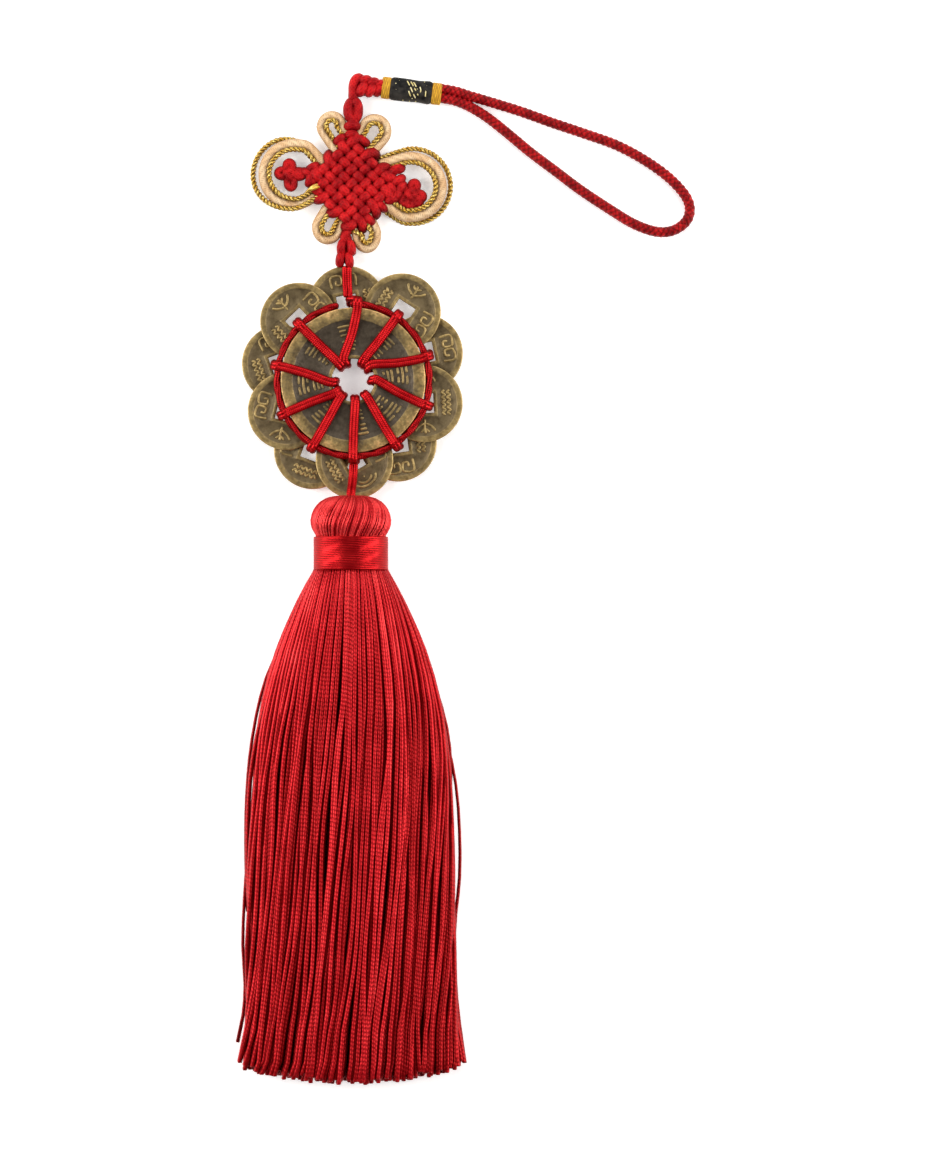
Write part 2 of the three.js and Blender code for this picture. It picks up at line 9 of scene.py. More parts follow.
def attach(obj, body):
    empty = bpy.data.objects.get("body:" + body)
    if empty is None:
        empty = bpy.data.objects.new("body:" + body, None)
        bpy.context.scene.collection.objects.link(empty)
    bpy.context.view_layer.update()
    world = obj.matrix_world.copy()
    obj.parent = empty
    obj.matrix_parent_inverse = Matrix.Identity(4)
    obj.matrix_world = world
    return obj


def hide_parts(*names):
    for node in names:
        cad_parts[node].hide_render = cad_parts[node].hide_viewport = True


# A hanging charm of knotted cord and coins, lying face up on a pale table under a camera straight above.
# Routes and sizes are in millimetres, +X right, +Y towards the knots, +Z up, as in the drawing. A gap is the
# distance between two places on a route, and sides are those of a cord's section.
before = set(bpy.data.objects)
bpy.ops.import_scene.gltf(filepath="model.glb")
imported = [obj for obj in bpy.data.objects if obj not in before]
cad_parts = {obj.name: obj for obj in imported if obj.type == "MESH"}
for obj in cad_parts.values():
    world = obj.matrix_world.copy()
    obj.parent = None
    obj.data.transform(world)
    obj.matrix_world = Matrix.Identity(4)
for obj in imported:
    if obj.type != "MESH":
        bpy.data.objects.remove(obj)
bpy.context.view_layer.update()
random.seed(20)

MM = 0.001
SHIFT_X, SHIFT_Y = -0.47315, 0.13486  # from the drawing's middle to the model's


def place(x, y, z=0.0):
    return Vector(((x + SHIFT_X) * MM, (y + SHIFT_Y) * MM, z * MM))


# Camera
CAMERA_X, CAMERA_Y, CAMERA_HIGH = 34.05, 0.3, 1224.0
SENSOR_HIGH, LENS = 24.0, 85.0


def aim_camera():
    data = bpy.data.cameras.new("camera")
    data.sensor_fit, data.sensor_height, data.lens = "VERTICAL", SENSOR_HIGH, LENS
    camera = bpy.data.objects.new("camera", data)
    camera.location = place(CAMERA_X, CAMERA_Y, CAMERA_HIGH)
    bpy.context.scene.collection.objects.link(camera)
    bpy.context.scene.camera = camera


# Materials


def linear(colour):
    """A sRGB hex colour as the linear RGBA that shaders want."""
    parts = [int(colour[i : i + 2], 16) / 255 for i in (1, 3, 5)]
    return (*(c / 12.92 if c <= 0.04045 else ((c + 0.055) / 1.055) ** 2.4 for c in parts), 1.0)


def add(tree, kind, inputs=None, stops=None, **settings):
    """Adds a shader node with its settings.

    An input is a value, a hex colour or another node's output. A stop is a place on a ramp and its colour.
    """
    made = tree.nodes.new("ShaderNode" + kind)
    for name, value in settings.items():
        setattr(made, name, value)
    for name, value in (inputs or {}).items():
        if isinstance(value, bpy.types.NodeSocket):
            tree.links.new(value, made.inputs[name])
        else:
            made.inputs[name].default_value = linear(value) if isinstance(value, str) else value
    for i, (where, colour) in enumerate(stops or []):
        stop = made.color_ramp.elements[i] if i < 2 else made.color_ramp.elements.new(where)
        stop.position, stop.color = where, linear(colour)
    return made


def new_material(name, **surface):
    """A material with one shader. Surface gives the shader's own even values."""
    material = bpy.data.materials.new(name)
    material.use_nodes = True
    tree = material.node_tree
    tree.nodes.clear()
    inputs = {key.replace("_", " "): value for key, value in surface.items()}
    shader = add(tree, "BsdfPrincipled", inputs)
    add(tree, "OutputMaterial", {"Surface": shader.outputs[0]})
    return material, tree, shader


def thread_wave(tree, around, along):
    """Ridges, 0 to 1, that cross a cord's own map: so many round the cord and so many for each centimetre."""
    at = add(tree, "SeparateXYZ", {0: add(tree, "UVMap").outputs[0]}).outputs
    across = add(tree, "Math", {0: at[0], 1: around * 2 * math.pi}, operation="MULTIPLY").outputs[0]
    inputs = {0: at[1], 1: along * 2 * math.pi, 2: across}
    phase = add(tree, "Math", inputs, operation="MULTIPLY_ADD").outputs[0]
    wave = add(tree, "Math", {0: phase}, operation="SINE").outputs[0]
    return add(tree, "Math", {0: wave, 1: 0.5, 2: 0.5}, operation="MULTIPLY_ADD").outputs[0]


def blotches(tree, size_mm, detail=3.0):
    """Soft noise in the piece's own space, with lumps of about this size."""
    at = add(tree, "TexCoord").outputs["Object"]
    settings = {"Vector": at, "Scale": 1 / (size_mm * MM), "Detail": detail}
    return add(tree, "TexNoise", settings).outputs["Fac"]


# A Mix node's sockets for colours
SHARE, FIRST, SECOND, MIXED = 0, 6, 7, 2


def cord_material(name, colours, waves, depth_mm, blotch_mm=4.0, shaded_share=0.5, **surface):
    """A cord of fine threads: painted shade between them, lighter on them, and a slow change of colour along
    it.

    Each wave is a set of threads: how many go round the cord, and how many for each centimetre along it.
    """
    dark, middle, light = colours
    material, tree, shader = new_material(name, **surface)
    height = thread_wave(tree, *waves[0])
    for wave in waves[1:]:
        other = thread_wave(tree, *wave)
        height = add(tree, "Math", {0: height, 1: other}, operation="MAXIMUM").outputs[0]
    slow = blotches(tree, blotch_mm)
    body = add(tree, "ValToRGB", {0: slow}, [(0.36, middle), (0.64, light)]).outputs[0]
    # Painted shade: the colour turns darker between the threads.
    shaded = add(tree, "Mix", {SHARE: height, FIRST: dark, SECOND: body}, data_type="RGBA").outputs[MIXED]
    inputs = {SHARE: shaded_share, FIRST: body, SECOND: shaded}
    colour = add(tree, "Mix", inputs, data_type="RGBA").outputs[MIXED]
    # Painted shade: where a cord's tone is low, its colour turns to the dark one.
    tone = add(tree, "Attribute", attribute_name="tone").outputs["Fac"]
    toned = add(tree, "Mix", {SHARE: tone, FIRST: dark, SECOND: colour}, data_type="RGBA").outputs[MIXED]
    tree.links.new(toned, shader.inputs["Base Color"])
    ridges = add(tree, "Bump", {"Height": height, "Distance": depth_mm * MM, "Strength": 1.0})
    tree.links.new(ridges.outputs[0], shader.inputs["Normal"])
    return material


RED_SHEEN = linear("#FF8078")  # the shine of dyed thread keeps some of its colour


def knot_cord():
    # Braided nylon knotting cord: a close, fine braid with a soft sheen, drawn about twice as coarse as it is.
    colours = ("#2E0002", "#8E0710", "#C81A1E")
    surface = {"Roughness": 0.5, "Specular_IOR_Level": 0.35, "Specular_Tint": RED_SHEEN}
    return cord_material("braided_nylon_red", colours, [(9, 9), (9, -9)], 0.1, 3.2, 0.4, **surface)


def satin_cord():
    # Rattail: rayon wound over a cotton core, so it shines across its fine turns of thread.
    colours = ("#5A0206", "#A80710", "#CC1A1E")
    surface = {"Roughness": 0.3, "Metallic": 0.6, "Specular_Tint": RED_SHEEN}
    return cord_material("rattail_satin_red", colours, [(1, 16)], 0.05, **surface)


def tassel_floss():
    # Twisted rayon floss: glossy strands, each a little lighter or darker, with a slanting twist, drawn coarser
    # than it is. Its tone carries painted light and painted shade, and the twist's grooves are painted darker.
    surface = {"Roughness": 0.34, "Metallic": 0.4, "Specular_Tint": RED_SHEEN}
    material, tree, shader = new_material("rayon_floss_red", **surface)
    # The tone carries painted light on ridges, head and near the band, and painted shade on sides and deep
    # layers.
    tone = add(tree, "Attribute", attribute_name="tone").outputs["Fac"]
    inputs = {0: blotches(tree, 7.0), 1: 0.5, 2: tone}
    share = add(tree, "Math", inputs, operation="MULTIPLY_ADD").outputs[0]
    share = add(tree, "Math", {0: share, 1: 0.8}, operation="MULTIPLY").outputs[0]
    stops = [
        (0.08, "#6E0005"), (0.34, "#88040A"), (0.56, "#9C0B13"),
        (0.7, "#B2151D"), (0.8, "#C42429"), (1.0, "#F04646"),
    ]
    body = add(tree, "ValToRGB", {0: share}, stops).outputs[0]
    height = thread_wave(tree, 1, 8)
    # Painted shade in the grooves of the twist.
    inputs = {SHARE: height, FIRST: "#8A3A3A", SECOND: "#FFFFFF"}
    twisted = add(tree, "Mix", inputs, data_type="RGBA").outputs[MIXED]
    inputs = {SHARE: 0.22, FIRST: body, SECOND: twisted}
    shaded = add(tree, "Mix", inputs, data_type="RGBA", blend_type="MULTIPLY").outputs[MIXED]
    tree.links.new(shaded, shader.inputs["Base Color"])
    ridges = add(tree, "Bump", {"Height": height, "Distance": 0.05 * MM, "Strength": 1.0})
    tree.links.new(ridges.outputs[0], shader.inputs["Normal"])
    return material


def cream_cord():
    # Cotton cord with rayon wound round it: a dry, soft surface with fine slanting threads.
    colours = ("#8A5E34", "#D6AC7C", "#E8CAA0")
    surface = {"Roughness": 0.6, "Specular_IOR_Level": 0.3}
    return cord_material("wound_rayon_cream", colours, [(3, 16), (5, -4)], 0.1, 3.0, **surface)


def gold_thread():
    # Metallised film wound round cotton plies: broken bright glints on each turn.
    colours = ("#40260A", "#D39A2A", "#FFDF7C")
    surface = {"Roughness": 0.28, "Metallic": 0.8}
    return cord_material("metallised_film_gold", colours, [(1, 26)], 0.06, 1.2, **surface)


def yellow_thread():
    # Mercerised cotton thread, wound on: matt, with short hairs.
    colours = ("#8A5A06", "#D0980E", "#F0B722")
    return cord_material("wound_cotton_yellow", colours, [(6, 14)], 0.08, 1.5, Roughness=0.8)


def brocade_silk():
    # Black silk satin weave of the brocade: smooth, faintly ribbed, with a grey shine that is painted in as
    # lighter grey patches, a painted sheen.
    colours = ("#020202", "#0B0A09", "#3C3833")
    surface = {"Roughness": 0.55, "Specular_IOR_Level": 0.12}
    return cord_material("silk_brocade_black", colours, [(60, 0), (0, 30)], 0.04, 3.0, **surface)


def brocade_yarn():
    # Gilt weft of the brocade's ornament.
    colours = ("#8C7A40", "#DCC87A", "#F8ECB8")
    return cord_material("gilt_weft", colours, [(1, 30)], 0.03, 1.0, Roughness=0.4, Metallic=0.35)


def coin_brass(name, field, rim, edge):
    """Cast brass, dark with age in its field and rubbed to bare metal where it stands out."""
    most_worn = 1.8
    material, tree, shader = new_material(name, Metallic=0.6)
    worn = add(tree, "Attribute", attribute_name="worn").outputs["Fac"]
    wide, fine = blotches(tree, 5.0, 5.0), blotches(tree, 0.7, 6.0)
    rub = add(tree, "Math", {0: fine, 1: 0.5, 2: worn}, operation="MULTIPLY_ADD").outputs[0]
    rub = add(tree, "Math", {0: wide, 1: 0.7, 2: rub}, operation="MULTIPLY_ADD").outputs[0]
    stops = [(0.5, field), (1.0, field), (1.35, rim), (1.62, edge)]
    stops = [(where / most_worn, colour) for where, colour in stops]
    share = add(tree, "Math", {0: rub, 1: 1 / most_worn}, operation="MULTIPLY").outputs[0]
    body = add(tree, "ValToRGB", {0: share}, stops).outputs[0]
    stops = [(0.3, "#85765A"), (0.6, "#FFFFFF")]
    spots = add(tree, "ValToRGB", {0: blotches(tree, 1.6, 8.0)}, stops).outputs[0]
    inputs = {SHARE: 0.6, FIRST: body, SECOND: spots}
    spotted = add(tree, "Mix", inputs, data_type="RGBA", blend_type="MULTIPLY").outputs[MIXED]
    tree.links.new(spotted, shader.inputs["Base Color"])
    rough = add(tree, "MapRange", {0: fine, 3: 0.36, 4: 0.62}).outputs[0]
    tree.links.new(rough, shader.inputs["Roughness"])
    height = add(tree, "Math", {0: fine, 1: wide}, operation="ADD").outputs[0]
    pitted = add(tree, "Bump", {"Height": height, "Distance": 0.12 * MM, "Strength": 0.8})
    tree.links.new(pitted.outputs[0], shader.inputs["Normal"])
    return material


# Routes: lists of places, later with the cord's radius at each


def smooth(points, gap):
    """A smooth route through the points, with a place about every gap millimetres."""
    route = []
    ends = [points[0], *points, points[-1]]
    for a, b, c, d in zip(ends, ends[1:], ends[2:], ends[3:]):
        steps = max(1, round(math.dist(b[:3], c[:3]) / gap))
        for step in range(steps):
            t = step / steps
            pulls = (-t + 2 * t**2 - t**3, 2 - 5 * t**2 + 3 * t**3, t + 4 * t**2 - 3 * t**3, t**3 - t**2)
            route.append(tuple(sum(p * q for p, q in zip(pulls, spot)) / 2 for spot in zip(a, b, c, d)))
    return [*route, tuple(points[-1])]


END_SHARE = 0.12  # share of its radius that a rounded cord keeps at its very end


def thick(route, radius):
    """The route with a radius at each place, rounded off at both ends."""
    runs = [0.0]
    for here, ahead in zip(route, route[1:]):
        runs.append(runs[-1] + math.dist(here[:3], ahead[:3]))
    result = []
    for spot, run in zip(route, runs):
        short = max(0.0, 1 - min(run, runs[-1] - run) / radius)
        result.append((*spot[:3], radius * max(END_SHARE, math.sqrt(1 - short**2))))
    return result


def framed(route):
    """Each place of a route, two directions across it that don't twist, and the distance run."""
    spots = [Vector(spot[:3]) for spot in route]
    across, run, result = None, 0.0, []
    for i, spot in enumerate(spots):
        ahead = (spots[min(i + 1, len(spots) - 1)] - spots[max(i - 1, 0)]).normalized()
        across = ahead.orthogonal() if across is None else across
        across = (across - ahead * across.dot(ahead)).normalized()
        run += (spot - spots[i - 1]).length if i else 0.0
        result.append((spot, across, ahead.cross(across), run))
    return result


def plies(route, count, radius, pitch, spread=0.95):
    """Routes of so many plies twisted round one another along a route."""
    result = []
    for ply in range(count):
        twisted = []
        for spot, across, up, run in framed(route):
            turn = 2 * math.pi * (run / pitch + ply / count)
            away = (across * math.cos(turn) + up * math.sin(turn)) * radius * spread
            twisted.append(tuple(spot + away))
        result.append(thick(twisted, radius))
    return result


# Making pieces
PATTERN_START = 20  # millimetres, the most that a cord's pattern is shifted along it by chance


def swept(name, routes, sides, relief=None, tones=None, sunk_tone=0.0):
    """One mesh of cords swept along routes, with a map in turns round the cord and centimetres along it.

    Relief gives how far the surface stands out, in millimetres, at a turn and a distance in millimetres.
    Tones say how light each cord is painted, from 0 to 1. The deepest places of the relief keep only the given
    share of it, a painted shade.
    """
    curve = bpy.data.curves.new(name, "CURVE")
    curve.dimensions, curve.bevel_depth, curve.bevel_resolution = "3D", 1.0, sides // 2 - 2
    for route in routes:
        spline = curve.splines.new("POLY")
        spline.points.add(len(route) - 1)
        for point, (x, y, z, radius) in zip(spline.points, route):
            point.co = (*place(x, y, z), 1.0)
            point.radius = radius * MM
    holder = bpy.data.objects.new(name, curve)
    mesh = bpy.data.meshes.new_from_object(holder)
    bpy.data.objects.remove(holder)
    mesh.name = name
    spots = []
    for route in routes:
        run = random.uniform(0, PATTERN_START)
        for i, spot in enumerate(route):
            run += math.dist(spot[:3], route[i - 1][:3]) if i else 0.0
            spots += [(side / sides, run, spot) for side in range(sides)]
    values = []
    for route, tone in zip(routes, tones or [1.0] * len(routes)):
        values += [tone] * (len(route) * sides)
    if relief:
        heights = [relief(turn, run) for turn, run, _ in spots]
        low, high = min(heights), max(heights)
        for vertex, height, (_, _, spot) in zip(mesh.vertices, heights, spots):
            vertex.co += (vertex.co - place(*spot[:3])).normalized() * height * MM
        shares = [sunk_tone + (1 - sunk_tone) * (height - low) / (high - low) for height in heights]
        values = [value * share for value, share in zip(values, shares)]
    mesh.attributes.new("tone", "FLOAT", "POINT").data.foreach_set("value", values)
    lay_map(mesh, spots)
    return closed(mesh)


def painted_shade_inside(mesh, middle, reach):
    """Paints shade between a flat knot's cords: its tones rise from its middle height to its faces."""
    tones = [min(1.0, abs(vertex.co.z / MM - middle) / reach) ** 1.5 for vertex in mesh.vertices]
    mesh.attributes["tone"].data.foreach_set("value", tones)
    return mesh


def painted_shade_on_sides(mesh, least):
    """Paints shade down a cord's sides, where less light falls among its neighbours."""
    tones = [max(least, abs(vertex.normal.z)) for vertex in mesh.vertices]
    old = [0.0] * len(tones)
    mesh.attributes["tone"].data.foreach_get("value", old)
    mesh.attributes["tone"].data.foreach_set("value", [tone * was for tone, was in zip(tones, old)])
    return mesh


def lay_map(mesh, spots):
    """Gives each corner of a face its turn and distance, also where the turns start again from 0."""
    places = mesh.uv_layers[0].data
    for polygon in mesh.polygons:
        turns = [spots[v][0] for v in polygon.vertices]
        wraps = max(turns) > 0.5 + min(turns)
        for loop, v, turn in zip(polygon.loop_indices, polygon.vertices, turns):
            places[loop].uv = (turn + 1 if wraps and turn < 0.5 else turn, spots[v][1] / 10)


def closed(mesh):
    """The mesh with its open ends filled and its faces pointing outwards."""
    bm = bmesh.new()
    bm.from_mesh(mesh)
    bmesh.ops.holes_fill(bm, edges=[edge for edge in bm.edges if edge.is_boundary])
    bmesh.ops.recalc_face_normals(bm, faces=bm.faces)
    bm.to_mesh(mesh)
    bm.free()
    return mesh


def merged(name, meshes):
    """Several meshes as one. Each one's place in the list is the number of its material."""
    bm = bmesh.new()
    for number, mesh in enumerate(meshes):
        first = len(bm.faces)
        bm.from_mesh(mesh)
        bm.faces.ensure_lookup_table()
        for face in bm.faces[first:]:
            face.material_index = number
        bpy.data.meshes.remove(mesh)
    whole = bpy.data.meshes.new(name)
    bm.to_mesh(whole)
    bm.free()
    return whole


def piece(name, mesh, materials, slot, *nodes):
    """Presses a finished mesh flat on the table and puts it in the scene in place of the drawing's nodes."""
    for vertex in mesh.vertices:
        vertex.co.z = max(0.0, vertex.co.z)
    mesh.polygons.foreach_set("use_smooth", [True] * len(mesh.polygons))
    for material in materials:
        mesh.materials.append(material)
    made = bpy.data.objects.new(name + "_made", mesh)
    bpy.context.scene.collection.objects.link(made)
    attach(made, "root")
    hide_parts(*nodes)
    return made


# The hand loop
LOOP_RADIUS = 1.5
LOOP_Z = 1.47  # where it lies on the table
LOOP_LYING = [
    (42.0, 142.3), (51.0, 139.5), (60.5, 136.1), (70.0, 132.9), (79.5, 129.5), (87.5, 125.3), (94.8, 120.2),
    (99.9, 114.9), (101.7, 110.6), (100.6, 106.6), (96.6, 103.8), (91.5, 103.5), (85.0, 105.8),
    (78.6, 109.6), (69.2, 115.8), (61.6, 121.5), (54.0, 127.2), (46.4, 133.5), (40.6, 138.0),
]
LOOP_POINTS = [
    (25.6, 146.1, 2.6), (28.0, 146.0, 2.6), (31.5, 145.4, 2.2), (35.5, 144.2, 1.7),
    *((x, y, LOOP_Z) for x, y in LOOP_LYING),
    (35.2, 141.2, 1.6), (31.2, 142.7, 2.2), (27.8, 143.3, 2.6), (25.4, 143.5, 2.6),
]
BRAID_STRANDS = 4  # each way round
BRAID_PITCH = 6.4  # millimetres along the cord for one turn of a strand
BRAID_DEEP = 0.3
BRAID_DIP, BRAID_SUNK = 0.45, 0.6  # how far a strand dips at its ends, and the whole braid's depth


def braid_height(turn, run):
    """How far a round braid stands out: strands slant both ways and pass over one another in turn."""
    rising = turn * BRAID_STRANDS + run * BRAID_STRANDS / BRAID_PITCH
    falling = turn * BRAID_STRANDS - run * BRAID_STRANDS / BRAID_PITCH
    rising_over = (math.floor(rising) + math.floor(falling)) % 2 == 0
    across, along = (rising, falling) if rising_over else (falling, rising)
    across, along = 2 * (across % 1) - 1, 2 * (along % 1) - 1
    return BRAID_DEEP * ((1 - across**2) * (1 - BRAID_DIP * along**2) - BRAID_SUNK)


def hand_loop(material):
    route = thick(smooth(LOOP_POINTS, 0.28), LOOP_RADIUS)
    # The braid's grooves are painted down to the cord's darkest colour, a painted shade.
    mesh = swept("hand_loop", [route], 28, braid_height)
    made = piece("hand_loop", mesh, [material], "knot_cord", "hand_loop")


# The woven knot
KNOT_X, KNOT_Y, KNOT_Z = 0.4, 117.7, 2.7
PITCH = 2.93
CORDS = 7
MIDDLE_CORD = CORDS // 2
CORD_RADIUS = 1.5
WEAVE_RISE = 1.35
SHAKE = 0.55  # within how many millimetres a crossing's place varies
SIDE_LINES = MIDDLE_CORD * PITCH  # from the knot's middle to its last cord
RUN_STEPS, TURN_STEPS = 12, 8  # places on half a run, and on a turn at the knot's edge


def on_knot(rising, falling, z=0.0):
    half = math.sqrt(0.5)
    return (KNOT_X + (rising - falling) * half, KNOT_Y + (rising + falling) * half, KNOT_Z + z)


def shaken(i, j, kind):
    """A small fixed shift of one crossing, as if by chance."""
    mix = math.sin(i * 12.9898 + j * 78.233 + kind * 37.719) * 43758.5453
    return (mix - math.floor(mix) - 0.5) * SHAKE


def cord_height(along, cord, over):
    return over * WEAVE_RISE * math.cos(math.pi * (along / PITCH + cord + 1))


def woven_run(rises, bulges):
    """One cord's whole way: seven runs side by side, joined by turns at the edges."""
    over = 1 if rises else -1
    points = []
    for cord in range(CORDS):
        line = (cord - MIDDLE_CORD) * PITCH
        way = -1 if cord % 2 == 0 else 1
        for step in range(-RUN_STEPS, RUN_STEPS + 1):
            along = way * step * SIDE_LINES / RUN_STEPS
            cell = round(along / PITCH) + MIDDLE_CORD
            where = (cell, cord) if rises else (cord, cell)
            nearness = math.cos(math.pi * (along / PITCH - cell + MIDDLE_CORD)) ** 2
            shift = shaken(*where, 1 if rises else 2) * nearness
            points.append((along, line + shift, cord_height(along, cord, over)))
        if cord < CORDS - 1:
            z = cord_height(way * SIDE_LINES, cord, over)
            for step in range(1, TURN_STEPS):
                turn = math.pi * step / TURN_STEPS
                out = way * (SIDE_LINES + bulges[cord] * math.sin(turn))
                points.append((out, line + PITCH * (1 - math.cos(turn)) / 2, z * math.cos(turn)))
    if rises:
        return [on_knot(along, across, z) for along, across, z in points]
    return [on_knot(across, along, z) for along, across, z in points]


# How far each turn stands out beyond the last cord, in the order in which the cord makes them
RISING_TURNS = [1.9, 2.2, 1.9, 2.6, 2.0, 2.4]
FALLING_TURNS = [3.1, 2.0, 2.9, 2.2, 3.0, 2.2]

# Bows of cord that stand out at the knot's corners: middle, half length, run in degrees, radius
CORNER_BOWS = [
    (13.9, 121.9, 1.7, 20, 1.6), (12.2, 119.8, 1.5, 130, 1.4), (14.4, 118.6, 1.6, 35, 1.4),
    (12.5, 116.3, 1.5, 120, 1.4), (15.2, 116.4, 1.5, 60, 1.35), (-10.2, 120.7, 2.3, 80, 1.3),
    (-12.0, 119.4, 2.2, 75, 1.25), (-11.2, 122.6, 1.4, 30, 1.3), (-12.9, 121.0, 1.3, 150, 1.2),
    (5.6, 107.0, 1.5, 135, 1.3), (9.3, 111.0, 1.5, 135, 1.3), (12.4, 112.9, 1.6, 20, 1.35),
    (14.2, 114.4, 1.4, 60, 1.3), (-3.1, 131.0, 1.5, 40, 1.3), (4.0, 130.5, 1.5, 140, 1.3),
]
CORNER_TOP, CORNER_FOOT = 3.9, 2.0  # heights of such a bow
# Painted shade: a flat knot's cords are painted darker towards its middle height.
PAINTED_SHADE_REACH = 2.2  # how far from a flat knot's middle height its cords are fully lit


def woven_knot(material):
    routes = [woven_run(True, RISING_TURNS), woven_run(False, FALLING_TURNS)]
    routes = [thick(smooth(route, 0.45), CORD_RADIUS) for route in routes]
    for x, y, reach, turn, radius in CORNER_BOWS:
        bow_over = arc_over(x, y, reach, turn, CORNER_TOP, CORNER_FOOT)
        routes.append(thick(smooth(bow_over, 0.3), radius))
    mesh = painted_shade_inside(swept("woven_knot", routes, 16), KNOT_Z, PAINTED_SHADE_REACH)
    piece("woven_knot", mesh, [material], "knot_cord", "woven_knot")


# The ears, loops of cream cord with gold cord beside them
BIG_CREAM, SMALL_CREAM = 1.5, 1.35  # radii
GOLD_PLY = 0.44  # radius of one of the gold cord's two plies
GOLD_TWIST = 2.6  # millimetres along the cord for one turn of a ply
EAR_Z = 2.5
FOOT_LIFT = 0.1  # share of a cord's own height left where it goes into the knot
KNOT_SIDE = 12.3  # from the knot's middle to where the cords come out
FOOT_DEEP = 3.6  # how far a foot reaches into the knot
EAR_STEPS = 12
CREAM_SHADE, GOLD_SHADE = 0.3, 0.1  # share of its colour that a cord keeps on its sides under the painted shade
# Where a gold cord runs beside its cream cord: how far inside its arc, how much higher, how far its feet move
# along the knot's side, and how far out they stay
INNER_GOLD = {"inset": 1.8, "lift": 1.65, "shift": -1.9, "slack": 0.5}
OUTER_GOLD = {"lift": -1.85, "shift": 2.0, "slack": 0.5}
SMALL_GOLD = {"inset": 1.6, "lift": 1.8, "shift": -1.5, "slack": 0.3}
# Arcs: middle from the knot's middle, half width, half height, start and end in degrees
# Feet: side of the knot, place along it, and which way a gold cord's foot moves
# Drawn: how far each place of the outer gold cord moves inwards and up
BIG_EARS = {
    "left": {
        "cream": (-17.1, 2.8, 9.3, 9.2, 62, 280),
        "outer": (-18.4, 2.9, 11.2, 11.1, 62, 285),
        "feet": [("upper_left", -1.6, 1), ("lower_left", 4.6, -1)],
        # the outer gold cord starts under the cream cord and ends on top of it
        "drawn": [
            (1.4, 0.0), (0.8, 0.0), (0.3, 0.0), (0.0, 0.0), (0.0, 0.0), (0.0, 0.0), (0.0, 0.0),
            (0.0, 0.2), (0.1, 0.9), (0.35, 1.9), (0.55, 2.9), (0.6, 3.4), (0.7, 3.5), (1.6, 1.4),
        ],
    },
    "right": {
        "cream": (17.8, -0.9, 9.2, 9.0, 108, -108),
        "outer": (18.4, -0.5, 11.2, 11.2, 113, -112),
        "feet": [("upper_right", -1.6, 1), ("lower_right", 2.6, -1)],
        "drawn": [],
    },
}
SMALL_EARS = {
    "upper_left": ((-5.9, 17.0, 3.2, 3.5, 198, -8), [("upper_left", 3.3, -1), ("upper_left", 9.2, 1)]),
    "upper_right": ((6.9, 15.8, 3.7, 3.8, 165, -40), [("upper_right", 8.2, 1), ("upper_right", 2.0, -1)]),
    "lower_left": ((-7.2, -13.1, 3.3, 3.7, 155, 340), [("lower_left", 0.6, 1), ("lower_left", -5.8, -1)]),
    "lower_right": ((4.5, -15.3, 3.0, 4.1, 22, -178), [("lower_right", -2.6, 1), ("lower_right", -8.8, 1)]),
}

# The gold cord's cut tail, frayed in two, with its thickness at each place
TAIL_STRIPS = [
    [(-13.2, 114.8, 5.7, 0.3), (-12.2, 115.6, 6.1, 0.5), (-10.9, 116.5, 6.3, 0.62), (-9.7, 117.3, 6.2, 0.3)],
    [(-12.7, 115.1, 5.9, 0.4), (-11.4, 115.8, 6.2, 0.6), (-10.1, 116.3, 6.3, 0.6), (-9.1, 116.5, 6.2, 0.25)],
]


def knot_side(side, along, out, z):
    """A place on one of the woven knot's sides, so far along it and out from the knot's middle."""
    rising, falling = {
        "upper_right": (out, along),
        "upper_left": (along, out),
        "lower_left": (-out, along),
        "lower_right": (along, -out),
    }[side]
    x, y, _ = on_knot(rising, falling)
    return (x, y, z)


def ear_route(arc, feet, inset=0.0, lift=0.0, shift=0.0, slack=0.9):
    """An ear's way: from one foot in the woven knot's side, round the arc, to its other foot."""
    x, y, wide, high, start, end = arc

    def foot(side, along, slip):
        out = KNOT_SIDE + slack - FOOT_DEEP
        return knot_side(side, along + slip * shift, out, EAR_Z + FOOT_LIFT * lift)

    points = [foot(*feet[0])]
    for step in range(EAR_STEPS + 1):
        angle = math.radians(start + (end - start) * step / EAR_STEPS)
        across, along = (wide - inset) * math.cos(angle), (high - inset) * math.sin(angle)
        points.append((KNOT_X + x + across, KNOT_Y + y + along, EAR_Z + lift))
    return [*points, foot(*feet[1])]


def drawn_in(route, arc, drawn):
    """An ear's way, with its places after the first foot moved towards the arc's middle and up."""
    middle = Vector((KNOT_X + arc[0], KNOT_Y + arc[1], 0.0))
    changed = list(route)
    for i, (inwards, up) in enumerate(drawn, 1):
        x, y, z = route[i]
        way_in = (middle - Vector((x, y, 0.0))).normalized() * inwards
        changed[i] = (x + way_in.x, y + way_in.y, z + up)
    return changed


def gold_cord(name, route, material, *nodes):
    mesh = swept(name, plies(smooth(route, 0.22), 2, GOLD_PLY, GOLD_TWIST), 8)
    piece(name, painted_shade_on_sides(mesh, GOLD_SHADE), [material], "gold_thread", *nodes)


